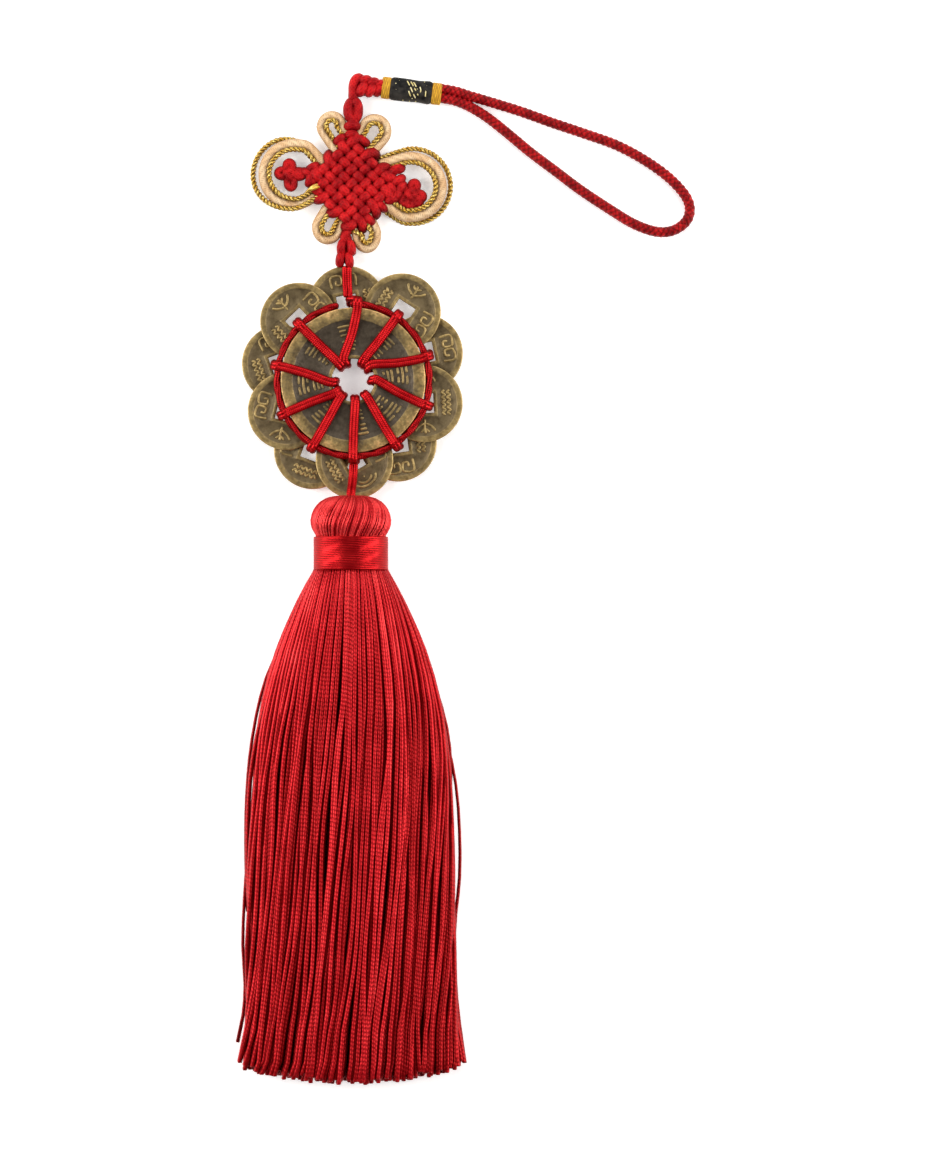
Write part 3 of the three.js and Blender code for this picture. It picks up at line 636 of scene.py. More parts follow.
def ears(cream, gold):
    for name, ear in BIG_EARS.items():
        route = thick(smooth(ear_route(ear["cream"], ear["feet"]), 0.6), BIG_CREAM)
        node = f"{name}_big_ear_cream"
        piece(node, painted_shade_on_sides(swept(node, [route], 18), CREAM_SHADE), [cream], "cream_cord", node)
        node = f"{name}_big_ear_gold_inner"
        gold_cord(node, ear_route(ear["cream"], ear["feet"], **INNER_GOLD), gold, node)
        node = f"{name}_big_ear_gold_outer"
        outer = ear_route(ear["outer"], ear["feet"], **OUTER_GOLD)
        gold_cord(node, drawn_in(outer, ear["outer"], ear["drawn"]), gold, node)
    for name, (arc, feet) in SMALL_EARS.items():
        route = thick(smooth(ear_route(arc, feet, slack=0.7), 0.5), SMALL_CREAM)
        node = f"{name}_ear_cream"
        piece(node, painted_shade_on_sides(swept(node, [route], 16), CREAM_SHADE), [cream], "cream_cord", node)
        node = f"{name}_ear_gold"
        gold_cord(node, ear_route(arc, feet, **SMALL_GOLD), gold, node)
    tail = swept("gold_tail", [smooth(strip, 0.3) for strip in TAIL_STRIPS], 10)
    piece("gold_tail", tail, [gold], "gold_thread", "gold_tail")


# The small knots
PETAL_HALF, PETAL_RISE = 0.95, 0.3
PETAL_CORD, STEM_CORD, BOW_CORD = 1.2, 1.8, 0.85  # radii
BOW_REACH, BOW_ASIDE, BOW_TOP, BOW_FOOT = 1.7, 0.75, 4.1, 2.4


def polar(radius, degrees):
    return radius * math.cos(math.radians(degrees)), radius * math.sin(math.radians(degrees))


def arc_over(x, y, reach, turn, high, low):
    """A short bow of cord over a knot, along the given direction."""
    dx, dy = polar(reach, turn)
    steps = [(share, math.sqrt(max(0.0, 1 - share**2))) for share in (-1, -0.8, -0.4, 0, 0.4, 0.8, 1)]
    return [(x + dx * share, y + dy * share, low + (high - low) * rise) for share, rise in steps]


def petal(x, y, away_x, away_y):
    """A tight loop of cord that goes out from a knot's middle and comes back beside itself."""
    reach = math.hypot(away_x, away_y)
    aside_x, aside_y = -away_y / reach * PETAL_HALF, away_x / reach * PETAL_HALF
    shape = [(0.1, -0.5), (0.5, -1), (0.85, -0.85), (1.0, 0), (0.85, 0.85), (0.5, 1), (0.1, 0.5)]
    return [
        (x + away_x * out + aside_x * side, y + away_y * out + aside_y * side, KNOT_Z + PETAL_RISE * out)
        for out, side in shape
    ]


# Each flower knot's middle, how far its petals reach from it, and its stem's place in the woven knot
FLOWER_KNOTS = {
    "left_flower_knot": (
        (-18.0, 120.6),
        [(-0.3, 3.6), (-3.7, 0.3), (0.3, -4.2), (4.1, 0.0)],
        (-12.9, 120.6),
    ),
    "right_flower_knot": (
        (18.2, 114.6),
        [(1.3, 3.5), (3.7, -1.0), (2.5, -3.0), (-0.3, -4.1), (-3.3, 0.3), (-2.7, -2.8)],
        (14.4, 116.9),
    ),
}


def flower_knots(material):
    for name, ((x, y), petals, stem) in FLOWER_KNOTS.items():
        routes = [thick(smooth(petal(x, y, *away), 0.3), PETAL_CORD) for away in petals]
        routes.append(thick(smooth([(x, y, 2.4), (*stem, 2.6)], 0.5), STEM_CORD))
        for turn in (35, 125):
            aside_x, aside_y = polar(BOW_ASIDE, turn + 90)
            for side in (-1, 1):
                top = BOW_TOP + side * 0.25
                bow_over = arc_over(x + side * aside_x, y + side * aside_y, BOW_REACH, turn, top, BOW_FOOT)
                routes.append(thick(smooth(bow_over, 0.3), BOW_CORD))
        mesh = painted_shade_inside(swept(name, routes, 12), 2.2, 2.0)
        piece(name, mesh, [material], "knot_cord", name)


# Each bow's or core's way, and its cord's radius
UPPER_KNOT_WAYS = [
    # the chain below the double knot: bows over a core
    ([(-1.3, 131.5, 1.8), (-0.5, 132.3, 3.6), (0.5, 132.6, 4.2), (1.5, 132.3, 3.6), (2.3, 131.5, 1.8)], 1.2),
    ([(-1.5, 133.9, 1.8), (-0.6, 134.9, 3.6), (0.6, 135.2, 4.3), (1.8, 134.9, 3.6), (2.7, 133.9, 1.8)], 1.25),
    ([(-0.7, 137.0, 1.8), (0.2, 136.8, 3.4), (1.2, 136.3, 3.6), (2.2, 135.7, 1.8)], 1.1),
    ([(0.6, 130.4, 2.2), (0.8, 137.4, 2.0)], 1.6),
    # the double knot's two strands round its eye
    (
        [(1.3, 136.3, 2.4), (-0.2, 137.5, 3.2), (-0.75, 139.7, 3.5), (-0.2, 141.7, 3.2), (1.0, 142.9, 2.6)],
        1.45,
    ),
    ([(0.5, 136.3, 2.2), (2.0, 137.6, 3.0), (2.5, 139.8, 3.2), (2.0, 141.8, 3.4), (0.7, 143.1, 3.4)], 1.45),
    ([(0.9, 137.5, 2.4), (0.9, 141.7, 2.4)], 1.5),
    # the cord up to the bend
    ([(0.9, 142.1, 2.8), (0.95, 145.0, 3.2), (1.15, 147.6, 3.4), (2.2, 149.2, 3.4), (4.0, 149.0, 2.4)], 1.55),
    # the turns between the bend and the sleeve, in two rows over a core
    ([(2.4, 144.8, 1.8), (3.1, 145.2, 3.8), (3.9, 146.3, 4.5), (4.6, 147.6, 3.4)], 1.55),
    ([(5.2, 144.6, 1.8), (5.8, 145.0, 3.8), (6.5, 146.0, 4.4), (7.2, 147.0, 3.2)], 1.4),
    ([(7.7, 144.6, 1.8), (8.1, 145.0, 3.4), (8.7, 145.9, 4.0), (9.4, 146.8, 3.0)], 1.3),
    ([(3.1, 148.2, 2.6), (4.1, 148.7, 4.0), (5.2, 148.8, 4.1), (6.1, 148.1, 2.6)], 1.3),
    ([(5.5, 147.2, 2.6), (6.4, 147.9, 4.3), (7.4, 148.2, 4.1), (8.2, 147.7, 2.6)], 1.25),
    ([(7.7, 146.8, 2.6), (8.5, 147.4, 4.0), (9.5, 147.6, 3.8), (10.2, 147.1, 2.6)], 1.2),
    ([(1.8, 145.8, 2.4), (7.0, 146.1, 2.2), (10.4, 145.8, 2.4)], 2.0),
    ([(2.4, 147.7, 2.4), (6.4, 147.3, 2.4), (10.4, 146.6, 2.4)], 1.8),
]
LOWER_KNOT_WAYS = [
    # the neck
    ([(-1.9, 105.6, 2.4), (-0.6, 103.6, 3.4), (-1.9, 101.6, 3.2), (-1.2, 99.8, 2.4)], 1.2),
    ([(-0.2, 105.4, 2.0), (-1.9, 103.2, 2.6), (-0.6, 101.2, 2.8), (-1.3, 99.6, 2.2)], 1.2),
    # two small knots, each of two bows
    ([(-2.5, 96.9, 1.8), (-2.75, 97.6, 3.5), (-2.7, 98.7, 4.2), (-2.4, 99.8, 3.5), (-2.0, 100.5, 2.0)], 1.32),
    ([(0.4, 96.8, 1.8), (0.5, 97.5, 3.5), (0.4, 98.5, 4.2), (0.05, 99.6, 3.5), (-0.4, 100.3, 2.0)], 1.32),
    ([(-3.0, 93.4, 1.8), (-3.15, 94.0, 3.4), (-3.05, 95.0, 4.1), (-2.8, 96.1, 3.4), (-2.4, 96.8, 2.0)], 1.32),
    ([(-0.2, 93.2, 1.8), (-0.2, 93.8, 3.4), (-0.25, 94.8, 4.1), (-0.5, 95.9, 3.4), (-0.8, 96.6, 2.0)], 1.32),
    ([(-1.1, 103.0, 1.9), (-1.5, 93.8, 1.9)], 1.7),
]


def small_knots(material):
    for name, ways in (("upper_knots", UPPER_KNOT_WAYS), ("lower_knots", LOWER_KNOT_WAYS)):
        routes = [thick(smooth(points, 0.4), radius) for points, radius in ways]
        mesh = painted_shade_inside(swept(name, routes, 14), 2.0, 2.2)
        piece(name, mesh, [material], "knot_cord", name)


# Sleeve and bindings
SLEEVE_START = Vector((9.4, 146.6, 0.0))
SLEEVE_TURN = math.radians(-6.8)


def on_sleeve(along, across, z):
    ahead = Vector((math.cos(SLEEVE_TURN), math.sin(SLEEVE_TURN), 0.0))
    aside = Vector((-ahead.y, ahead.x, 0.0))
    return tuple(SLEEVE_START + ahead * along + aside * across + Vector((0, 0, z)))


def pressed(mesh, high, wide):
    """Flattens a tube that lies on the table, from its width to its height."""
    for vertex in mesh.vertices:
        vertex.co.z *= high / wide
    return mesh


SLEEVE_WIDE, SLEEVE_HIGH = 7.0, 5.4
BINDING_WIDE, BINDING_HIGH = 6.6, 5.1
SLEEVE_WIDTHS = [  # place along it, and half its width
    (2.6, 3.0), (3.3, 3.42), (5.0, 3.5), (8.0, 3.44), (10.5, 3.3), (12.4, 3.36), (14.2, 3.5), (15.2, 3.0),
]
# The woven ornament: a small sprig, a border of dashes and a few dots, as runs of places along and across
SPRIG = [
    [(7.4, 2.6), (8.6, 0.8), (9.7, -1.1), (10.5, -2.3)], [(8.5, 2.5), (9.4, 1.3), (10.4, -0.2)],
    [(9.3, 2.4), (9.9, 1.7), (10.8, 0.3)], [(8.2, -0.4), (8.8, -1.6), (9.6, -2.6)],
    [(11.4, 1.2), (11.8, 0.2), (11.7, -0.9)], [(10.9, -0.9), (11.2, -1.5)], [(13.2, 1.9), (13.5, 1.8)],
    [(13.3, 0.2), (13.4, -1.6)], [(5.0, 2.5), (5.3, 2.4)], [(4.3, -0.4), (4.6, -0.5)],
    [(4.1, 1.6), (4.2, 1.2)], [(6.6, -3.2), (7.0, -3.25)], [(8.6, -3.3), (9.0, -3.3)],
    [(10.4, -3.2), (10.9, -3.2)], [(12.4, 2.9), (12.8, 2.9)],
]
YARN_STEP, YARN_RADIUS = 0.22, 0.18
FLOAT_STEPS = 9  # how many steps the yarn lies on top before it dips into the weave
WINDING_PITCH, WINDING_HIGH, WINDING_SUNK = 0.5, 0.12, 0.08


def sleeve_rise(across, wide, high):
    share = min(0.98, abs(across) / (wide / 2))
    return high / 2 * (1 + math.sqrt(1 - share**2))


def sleeve(silk, yarn):
    middle = SLEEVE_WIDE / 2
    route = [(*on_sleeve(along, 0, middle), half) for along, half in SLEEVE_WIDTHS]
    tube = pressed(swept("sleeve", [smooth(route, 0.4)], 32), SLEEVE_HIGH, SLEEVE_WIDE)
    strokes = []
    for run in SPRIG:
        line = smooth([(a, b, 0.0) for a, b in run], YARN_STEP)
        places = [on_sleeve(a, b, sleeve_rise(b, SLEEVE_WIDE, SLEEVE_HIGH)) for a, b, _ in line]
        for start in range(0, len(places), FLOAT_STEPS + 1):
            float_run = places[start : start + FLOAT_STEPS]
            if len(float_run) > 1:
                strokes.append(thick(float_run, YARN_RADIUS))
    stitched = swept("strokes", strokes, 6)
    piece("sleeve", merged("sleeve", [tube, stitched]), [silk, yarn], "brocade", "sleeve")


def winding_height(turn, run):
    return WINDING_HIGH * abs(math.sin(math.pi * (run / WINDING_PITCH + turn))) - WINDING_SUNK


def bindings(material):
    for name, start, end in (("sleeve_binding_near", 0.0, 2.8), ("sleeve_binding_far", 15.0, 18.0)):
        half = BINDING_WIDE / 2
        widths = [(start, 0.85), (start + 0.2, 0.97), (start + 0.5, 1)]
        widths += [(end - 0.5, 1), (end - 0.2, 0.97), (end, 0.85)]
        route = [(*on_sleeve(along, 0, half), half * share) for along, share in widths]
        # The winding's grooves are painted down to the thread's darkest colour, a painted shade.
        mesh = swept(name, [smooth(route, 0.1)], 40, winding_height)
        piece(name, pressed(mesh, BINDING_HIGH, BINDING_WIDE), [material], "yellow_thread", name)


# Coins
RING_X, RING_Y = 0.96, 58.8
LOW_Z, HIGH_Z, BIG_Z = 1.4, 3.0, 4.6
COIN_RADIUS, COIN_THICK, RIM, HOLE, HOLE_RIM, RELIEF = 11.6, 1.3, 1.7, 2.9, 1.0, 0.25
BIG_RADIUS, BIG_THICK, BIG_RIM, BIG_HOLE = 21.6, 1.9, 3.5, 6.4
COIN_SIDES, BIG_SIDES = 72, 128
SHARP = math.radians(50)
STROKE_FLATNESS = 0.75
# Each small coin's direction and distance from the ring's middle, its turn, and whether it lies on top
COINS = [
    (94.7, 22.8, 10, False), (54.5, 25.1, -33, True), (21.3, 22.7, 12, False), (-18.1, 22.2, 3, True),
    (-54.4, 22.9, 8, False), (-89.2, 23.8, 30, True), (-120.3, 24.2, -20, False), (-155.3, 22.0, -14, True),
    (166.9, 22.4, 20, False), (132.7, 24.0, 44, True),
]


def turned_plate(bm, loops, sides):
    """Draws a closed plate with a hole, one edge loop after another.

    A loop is its size, how square it is from 0 to 1, its height, and how worn the metal is there.
    """
    worn = bm.verts.layers.float.new("worn")
    verts = bmesh.ops.create_circle(bm, segments=sides, radius=1.0)["verts"]
    edges = list({edge for vert in verts for edge in vert.link_edges})
    for number, (size, square, height, rub) in enumerate(loops):
        if number:
            made = bmesh.ops.extrude_edge_only(bm, edges=edges)["geom"]
            verts = [part for part in made if isinstance(part, bmesh.types.BMVert)]
            edges = [part for part in made if isinstance(part, bmesh.types.BMEdge)]
        for vert in verts:
            ray = Vector((vert.co.x, vert.co.y)).normalized()
            reach = size * (1 - square + square / max(abs(ray.x), abs(ray.y)))
            vert.co = (ray.x * reach, ray.y * reach, height)
            vert[worn] = rub
    bmesh.ops.remove_doubles(bm, verts=bm.verts, dist=1e-4)


def plate_loops(radius, rim, hole, thick_mm, square):
    """The loops of a coin from its edge over its face into its hole and back under it."""
    field = thick_mm - RELIEF
    inner = hole + HOLE_RIM
    face = [
        (radius, 0, thick_mm * 0.5, 0.7),
        (radius, 0, thick_mm - 0.18, 0.9),
        (radius - 0.08, 0, thick_mm - 0.06, 1.0),
        (radius - 0.3, 0, thick_mm, 0.8),
        (radius - rim + 0.25, 0, thick_mm, 0.62),
        (radius - rim, 0, thick_mm - 0.08, 0.6),
        (radius - rim - 0.25, 0, field, 0.0),
        (inner + (radius - rim - inner) * 0.5, square * 0.25, field, 0.1),
        (inner + 0.25, square, field, 0.0),
        (inner + 0.02, square, thick_mm - 0.08, 0.6),
        (inner - 0.2, square, thick_mm - 0.02, 0.7),
        (hole + 0.2, square, thick_mm - 0.02, 0.75),
        (hole, square, thick_mm - 0.2, 0.7),
    ]
    back = [(size, form, thick_mm - height, rub) for size, form, height, rub in reversed(face)]
    return face + back + face[:1]


def moved(bm, x, y, z, spin=0.0):
    """Turns a finished shape on its spot and puts it in its place, in metres."""
    placed = Matrix.Translation(place(x, y, z)) @ Matrix.Scale(MM, 4)
    bmesh.ops.transform(bm, matrix=placed @ Matrix.Rotation(math.radians(spin), 4, "Z"), verts=bm.verts)
    bmesh.ops.recalc_face_normals(bm, faces=bm.faces)


def crescent(radius):
    arc = [polar(radius, 12 + 156 * step / 6) for step in range(7)]
    return [(across, out - 1.0) for across, out in arc]


# Ornaments cast round the square holes: strokes about a middle, pointing away from the hole
ORNAMENTS = [
    # nested crescents and a dot
    [crescent(2.5), crescent(1.5), [(-0.25, -1.1), (0.25, -1.1)]],
    # two mirrored frets
    [
        [(-2.4, -1.6), (-2.4, 1.6), (-0.4, 1.6), (-0.4, -0.6), (-1.4, -0.6), (-1.4, 0.6)],
        [(2.4, -1.6), (2.4, 1.6), (0.4, 1.6), (0.4, -0.6), (1.4, -0.6), (1.4, 0.6)],
    ],
    # a sprig
    [
        [(0, -2.0), (0.1, 0), (-0.1, 2.0)], [(-0.1, -0.9), (-1.3, 0), (-2.1, 1.3)],
        [(0.1, -0.9), (1.3, 0), (2.1, 1.3)], [(0, 0.5), (-0.9, 1.6)], [(0, 0.5), (0.9, 1.6)],
    ],
    # waves
    [[(x / 2 - 2.5, y + 0.4 * (-1) ** x) for x in range(11)] for y in (-0.9, 0.5)],
]
ORNAMENT_OUT = 6.9  # from the coin's middle to the ornament's
ORNAMENT_WIDE, ORNAMENT_HIGH = 1.5, 1.1  # stretch along the hole's side and away from it
ORNAMENT_STROKE, ORNAMENT_WORN = 0.36, 0.8  # radius, and how worn the metal is


def ornament_routes(number, x, y, z, spin):
    """The four cast ornaments of one small coin, in the charm's own millimetres."""
    routes = []
    for quarter in range(4):
        strokes = ORNAMENTS[(number + quarter * (1 + number % 2)) % len(ORNAMENTS)]
        turn = math.radians(spin + quarter * 90)
        cosine, sine = math.cos(turn), math.sin(turn)
        for stroke in strokes:
            places = []
            for a, b in stroke:
                a, b = a * ORNAMENT_WIDE, b * ORNAMENT_HIGH + ORNAMENT_OUT
                places.append((x + a * cosine - b * sine, y + a * sine + b * cosine, z))
            routes.append(thick(smooth(places, 0.3), ORNAMENT_STROKE))
    return routes


def worn_strokes(name, routes, rub):
    mesh = pressed_about(swept(name, routes, 8), STROKE_FLATNESS, routes[0][0][2])
    attribute = mesh.attributes.new("worn", "FLOAT", "POINT")
    attribute.data.foreach_set("value", [rub] * len(mesh.vertices))
    return mesh


def pressed_about(mesh, share, z):
    """Flattens a mesh about a height."""
    for vertex in mesh.vertices:
        vertex.co.z = z * MM + (vertex.co.z - z * MM) * share
    return mesh


def joined_worn(name, bm, strokes):
    """A coin's plate and its cast strokes as one mesh."""
    bm.from_mesh(strokes)
    bpy.data.meshes.remove(strokes)
    mesh = bpy.data.meshes.new(name)
    bm.to_mesh(mesh)
    bm.free()
    return mesh


def small_coins(material):
    for number, (angle, radius, spin, high) in enumerate(COINS, 1):
        name = f"coin_{number:02d}"
        away_x, away_y = polar(radius, angle)
        x, y, z = RING_X + away_x, RING_Y + away_y, HIGH_Z if high else LOW_Z
        bm = bmesh.new()
        turned_plate(bm, plate_loops(COIN_RADIUS, RIM, HOLE, COIN_THICK, 1), COIN_SIDES)
        moved(bm, x, y, z, spin)
        routes = ornament_routes(number, x, y, z + COIN_THICK - RELIEF, spin)
        mesh = joined_worn(name, bm, worn_strokes(name + "_relief", routes, ORNAMENT_WORN))
        piece(name, mesh, [material], "coin_brass", name)
        mesh.set_sharp_from_angle(angle=SHARP)


# The large coin's ornament: eight groups of bars, whole or broken, as on old charms
BAR_GROUPS = ["110101", "101011", "011010", "100110", "010001", "001101", "111010", "010110"]
BAR_RADII = [(9.3, 1.7), (10.5, 1.9), (11.7, 2.1), (13.6, 2.5), (14.9, 2.8), (16.2, 3.1)]  # and half lengths
FIRST_GROUP, GROUPS_APART = 96, 45  # degrees
BAR_STROKE, BAR_WORN, BAR_GAP = 0.38, 0.7, 0.35  # radius, how worn, and half the gap in a broken bar


def bar_routes():
    routes = []
    z = BIG_Z + BIG_THICK - RELIEF
    for group, kinds in enumerate(BAR_GROUPS):
        middle = FIRST_GROUP - group * GROUPS_APART
        for whole, (radius, half) in zip(kinds, BAR_RADII):
            spans = [(-half, half)] if whole == "1" else [(-half, -BAR_GAP), (BAR_GAP, half)]
            for start, end in spans:
                places = []
                for step in range(5):
                    aside = start + (end - start) * step / 4
                    x, y = polar(radius, middle + math.degrees(aside / radius))
                    places.append((RING_X + x, RING_Y + y, z))
                routes.append(thick(smooth(places, 0.35), BAR_STROKE))
    return routes


def large_coin(material):
    bm = bmesh.new()
    turned_plate(bm, plate_loops(BIG_RADIUS, BIG_RIM, BIG_HOLE, BIG_THICK, 0), BIG_SIDES)
    moved(bm, RING_X, RING_Y, BIG_Z)
    mesh = joined_worn("large_coin", bm, worn_strokes("bars", bar_routes(), BAR_WORN))
    piece("large_coin", mesh, [material], "coin_brass", "large_coin")
    mesh.set_sharp_from_angle(angle=SHARP)


# Lashing
# Each stitch's direction at the large coin's edge, at the small coin's hole and at the large coin's hole
STITCHES = [
    (86.7, 92.0, 113), (55.4, 55.4, 62), (17.4, 19.0, 40), (-18.8, -18.8, 0), (-56.6, -55.4, -51),
    (-90.0, -88.7, -85), (-121.6, -121.2, -126), (-153.7, -154.4, -145), (169.5, 168.4, 185),
    (134.2, 133.4, 131),
]
STITCH_OUT, STITCH_IN = 22.8, 5.1  # from the ring's middle to a stitch's ends over the large coin
STRAND, STRAND_ASIDE = 0.92, 0.52  # radius, and how far each of a stitch's two strands lies from its middle
RING_CORD_RADIUS = 22.75
RING_TURN, RING_STEPS = 352, 180  # degrees that the ring cord goes round, and its places
RING_PLY, RING_TWIST, RING_FLAT = 0.82, 12.0, 0.35
RING_UP, RING_TONE = 0.85, 0.6
STITCH_STEPS = [
    # distance from the ring's middle, which angle it is at, and height
    (22.0, "hole", 0.6), (23.6, "hole", 1.5), (24.3, "hole", 4.2), (24.3, "outer", 5.9),
    (23.7, "outer", 7.1), (22.6, "outer", 7.5), (20.8, "outer", 7.15), (14.0, "half", 7.15),
    (7.2, "inner", 7.15), (5.5, "inner", 6.6), (5.1, "inner", 5.0), (5.1, "inner", 1.8),
    (5.9, "inner", 0.7), (14.0, "under", 0.6), (22.0, "hole", 0.6),
]


def stitch_middle(outer, hole, inner):
    """The line in the middle of one stitch: up a small coin's hole, over the large coin and down its hole."""
    ends = {"outer": outer, "hole": hole, "inner": inner}
    spots = []
    for radius, angle, z in STITCH_STEPS:
        if angle in ends:
            x, y = polar(radius, ends[angle])
        else:
            far = polar(STITCH_OUT, outer if angle == "half" else hole)
            near = polar(STITCH_IN, inner)
            share = (radius - STITCH_IN) / (STITCH_OUT - STITCH_IN)
            x, y = (n + (f - n) * share for n, f in zip(near, far))
        spots.append((RING_X + x, RING_Y + y, z))
    return spots


def lashing(material):
    routes = []
    for outer, hole, inner in STITCHES:
        spots = stitch_middle(outer, hole, inner)
        (x0, y0), (x1, y1) = polar(STITCH_OUT, outer), polar(STITCH_IN, inner)
        length = math.hypot(x1 - x0, y1 - y0)
        aside = (-(y1 - y0) / length * STRAND_ASIDE, (x1 - x0) / length * STRAND_ASIDE)
        for side in (-1, 1):
            moved_spots = [(x + aside[0] * side, y + aside[1] * side, z) for x, y, z in spots]
            routes.append(thick(smooth(moved_spots, 0.6), STRAND))
    start = STITCHES[0][0] + 6
    around = []
    for step in range(RING_STEPS + 1):
        x, y = polar(RING_CORD_RADIUS, start - RING_TURN * step / RING_STEPS)
        around.append((RING_X + x, RING_Y + y, BIG_Z + RING_UP))
    ring = plies(smooth(around, 0.4), 2, RING_PLY, RING_TWIST, RING_FLAT)
    tones = [1.0] * len(routes) + [RING_TONE] * len(ring)
    mesh = painted_shade_on_sides(swept("lashing", routes + ring, 12, tones=tones), 0.3)
    piece("lashing", mesh, [material], "satin_cord", "lashing")


STRANDS_APART = 0.92  # how far each of two strands lies from their middle, as a share of its radius
# The strands' radius and their middle's way
STRAND_WAYS = {
    "upper_strands": (
        0.75,
        [(-1.0, 93.1, 3.6), (-0.95, 90.2, 3.9), (-0.85, 87.0, 3.9), (-0.7, 85.0, 4.1), (-0.65, 83.6, 4.9)],
    ),
    "lower_strands": (
        0.7,
        [(1.1, 34.1, 5.6), (0.95, 30.5, 6.0), (0.7, 27.6, 7.6), (0.45, 25.4, 9.6), (0.4, 23.4, 10.6)],
    ),
}


def hanging_strands(material):
    for name, (radius, points) in STRAND_WAYS.items():
        routes = []
        for side in (-STRANDS_APART, STRANDS_APART):
            aside = [(x + side * radius, y, z) for x, y, z in points]
            routes.append(thick(smooth(aside, 0.4), radius))
        piece(name, swept(name, routes, 12), [material], "satin_cord", name)


# The tassel
TASSEL_X = 0.4
HEAD_FLATNESS = 0.93
HEAD_AXIS = 10.67
HEAD_PROFILE = [  # radius, and place along
    (0.4, 24.2), (3.0, 24.15), (5.6, 23.8), (7.8, 23.1), (9.3, 22.2), (10.4, 21.1), (11.2, 19.9),
    (11.75, 18.5), (12.05, 16.9), (11.95, 15.6), (11.65, 14.5), (11.1, 13.5), (10.55, 12.6), (10.2, 11.6),
    (10.1, 7.0), (10.1, 3.4),
]
HEAD_THREADS = 150
HEAD_LEAN = 0.34  # how far round the head a thread leans on its way down, in radians
LEAN_TOP, LEAN_FOOT = 24, 12  # the places between which it leans
FULL_FROM = 8  # radius of the head from which its threads have their full thickness
# The core is painted dark, a painted shade where it shows between the head's threads.
CORE_INSET, CORE_TONE = 0.45, 0.3
TASSEL_SECTIONS = [
    # place along, width and height
    (3.6, 20.8, 19.6), (1.2, 22.8, 20.2), (-7.0, 31.6, 20.0), (-22.0, 44.6, 18.4), (-37.0, 53.4, 17.0),
    (-54.0, 58.6, 15.6), (-80.0, 61.4, 14.4), (-110.0, 62.8, 13.4), (-135.0, 64.4, 12.8),
    (-150.2, 67.6, 12.4),
]
RIM_PLACES = 96
SECTION_GAP = 7.0
TASSEL_RINGS = [(96, 0.0), (92, 1.0), (88, 2.1), (78, 3.2), (60, 4.3), (44, 5.4)]
# Painted shade: the deeper layers of strands are painted darker.
RING_TONES = [0.4, 0.36, 0.3, 0.2, 0.1, 0.0]  # the deeper, the less light
STRAND_THICK = 0.68  # radius
SIDE_SHORTER = 4.4
SLANT = 0.085  # share of the way round that the strands drift, to the left as they fall
DRIFT, SWAY = 0.009, 0.45  # a strand's own wandering, as a share of the way round and in millimetres
BUNCHED = 0.036  # share of the way round that the strands draw together
TASSEL_HALF = 33.5  # half its width at the ends
# Painted light and shade on the tassel: strands painted lighter on their outer ridges and near the band, darker
# on their sides.
RIDGE_LIGHT, RIDGE_MEAN = 0.34, 0.55
BAND_LIGHT, BAND_REACH = 0.14, 50  # how much lighter the strands are at the band, and how far down
TASSEL_SPREAD, TASSEL_MIDDLE = 2.5, 0.006  # how much wider than high it is, and its middle's height in metres
# Loose strands outside the rest, as places along them
LOOSE_STRANDS = [
    [(-9.0, 0.5), (-17.5, -15), (-25.0, -30), (-29.2, -48), (-30.9, -66), (-31.1, -84), (-30.6, -100)],
    [(-28.5, -60), (-30.4, -80), (-31.6, -96), (-32.1, -110), (-31.4, -122), (-32.0, -131), (-33.7, -139.2)],
    [(10.0, 0.5), (19.5, -18), (25.2, -32), (28.9, -45), (30.1, -57), (29.6, -70), (28.6, -84)],
    [
        (22.0, -28), (28.6, -48), (31.6, -62), (32.7, -76), (32.7, -90), (31.2, -106), (31.8, -126),
        (34.3, -145.4),
    ],
]


def on_head(radius, y, angle):
    z = HEAD_AXIS + radius * HEAD_FLATNESS * math.sin(angle)
    return (TASSEL_X + radius * math.cos(angle), y, max(0.35, z))


def head_threads():
    """The floss drawn over the tassel's head, from its top to the band."""
    routes = []
    for thread in range(HEAD_THREADS):
        start = 2 * math.pi * (thread + random.uniform(-0.3, 0.3)) / HEAD_THREADS
        lean = HEAD_LEAN + random.uniform(-0.05, 0.05)
        thin = random.uniform(0.24, 0.3)
        points = []
        for radius, y in HEAD_PROFILE:
            angle = start + lean * (LEAN_TOP - max(y, LEAN_FOOT)) / (LEAN_TOP - LEAN_FOOT)
            x, y, z = on_head(radius - thin, y, angle)
            points.append((x, y, z, max(0.06, thin * min(1.0, radius / FULL_FROM))))
        routes.append(smooth(points, 1.3))
    return routes


def head_core():
    """What the threads lie on, a little inside them."""
    bm = bmesh.new()
    verts = [bm.verts.new((max(0.01, radius - CORE_INSET), 0, y)) for radius, y in HEAD_PROFILE]
    edges = [bm.edges.new(pair) for pair in zip(verts, verts[1:])]
    spin = {"cent": (0, 0, 0), "axis": (0, 0, 1), "angle": 2 * math.pi, "steps": 64, "use_merge": True}
    bmesh.ops.spin(bm, geom=verts + edges, **spin)
    bmesh.ops.holes_fill(bm, edges=[edge for edge in bm.edges if edge.is_boundary])
    for vert in bm.verts:
        radius, y, angle = math.hypot(vert.co.x, vert.co.y), vert.co.z, math.atan2(vert.co.y, vert.co.x)
        vert.co = place(*on_head(radius, y, angle))
    bmesh.ops.recalc_face_normals(bm, faces=bm.faces)
    mesh = bpy.data.meshes.new("head_core")
    bm.to_mesh(mesh)
    bm.free()
    return mesh


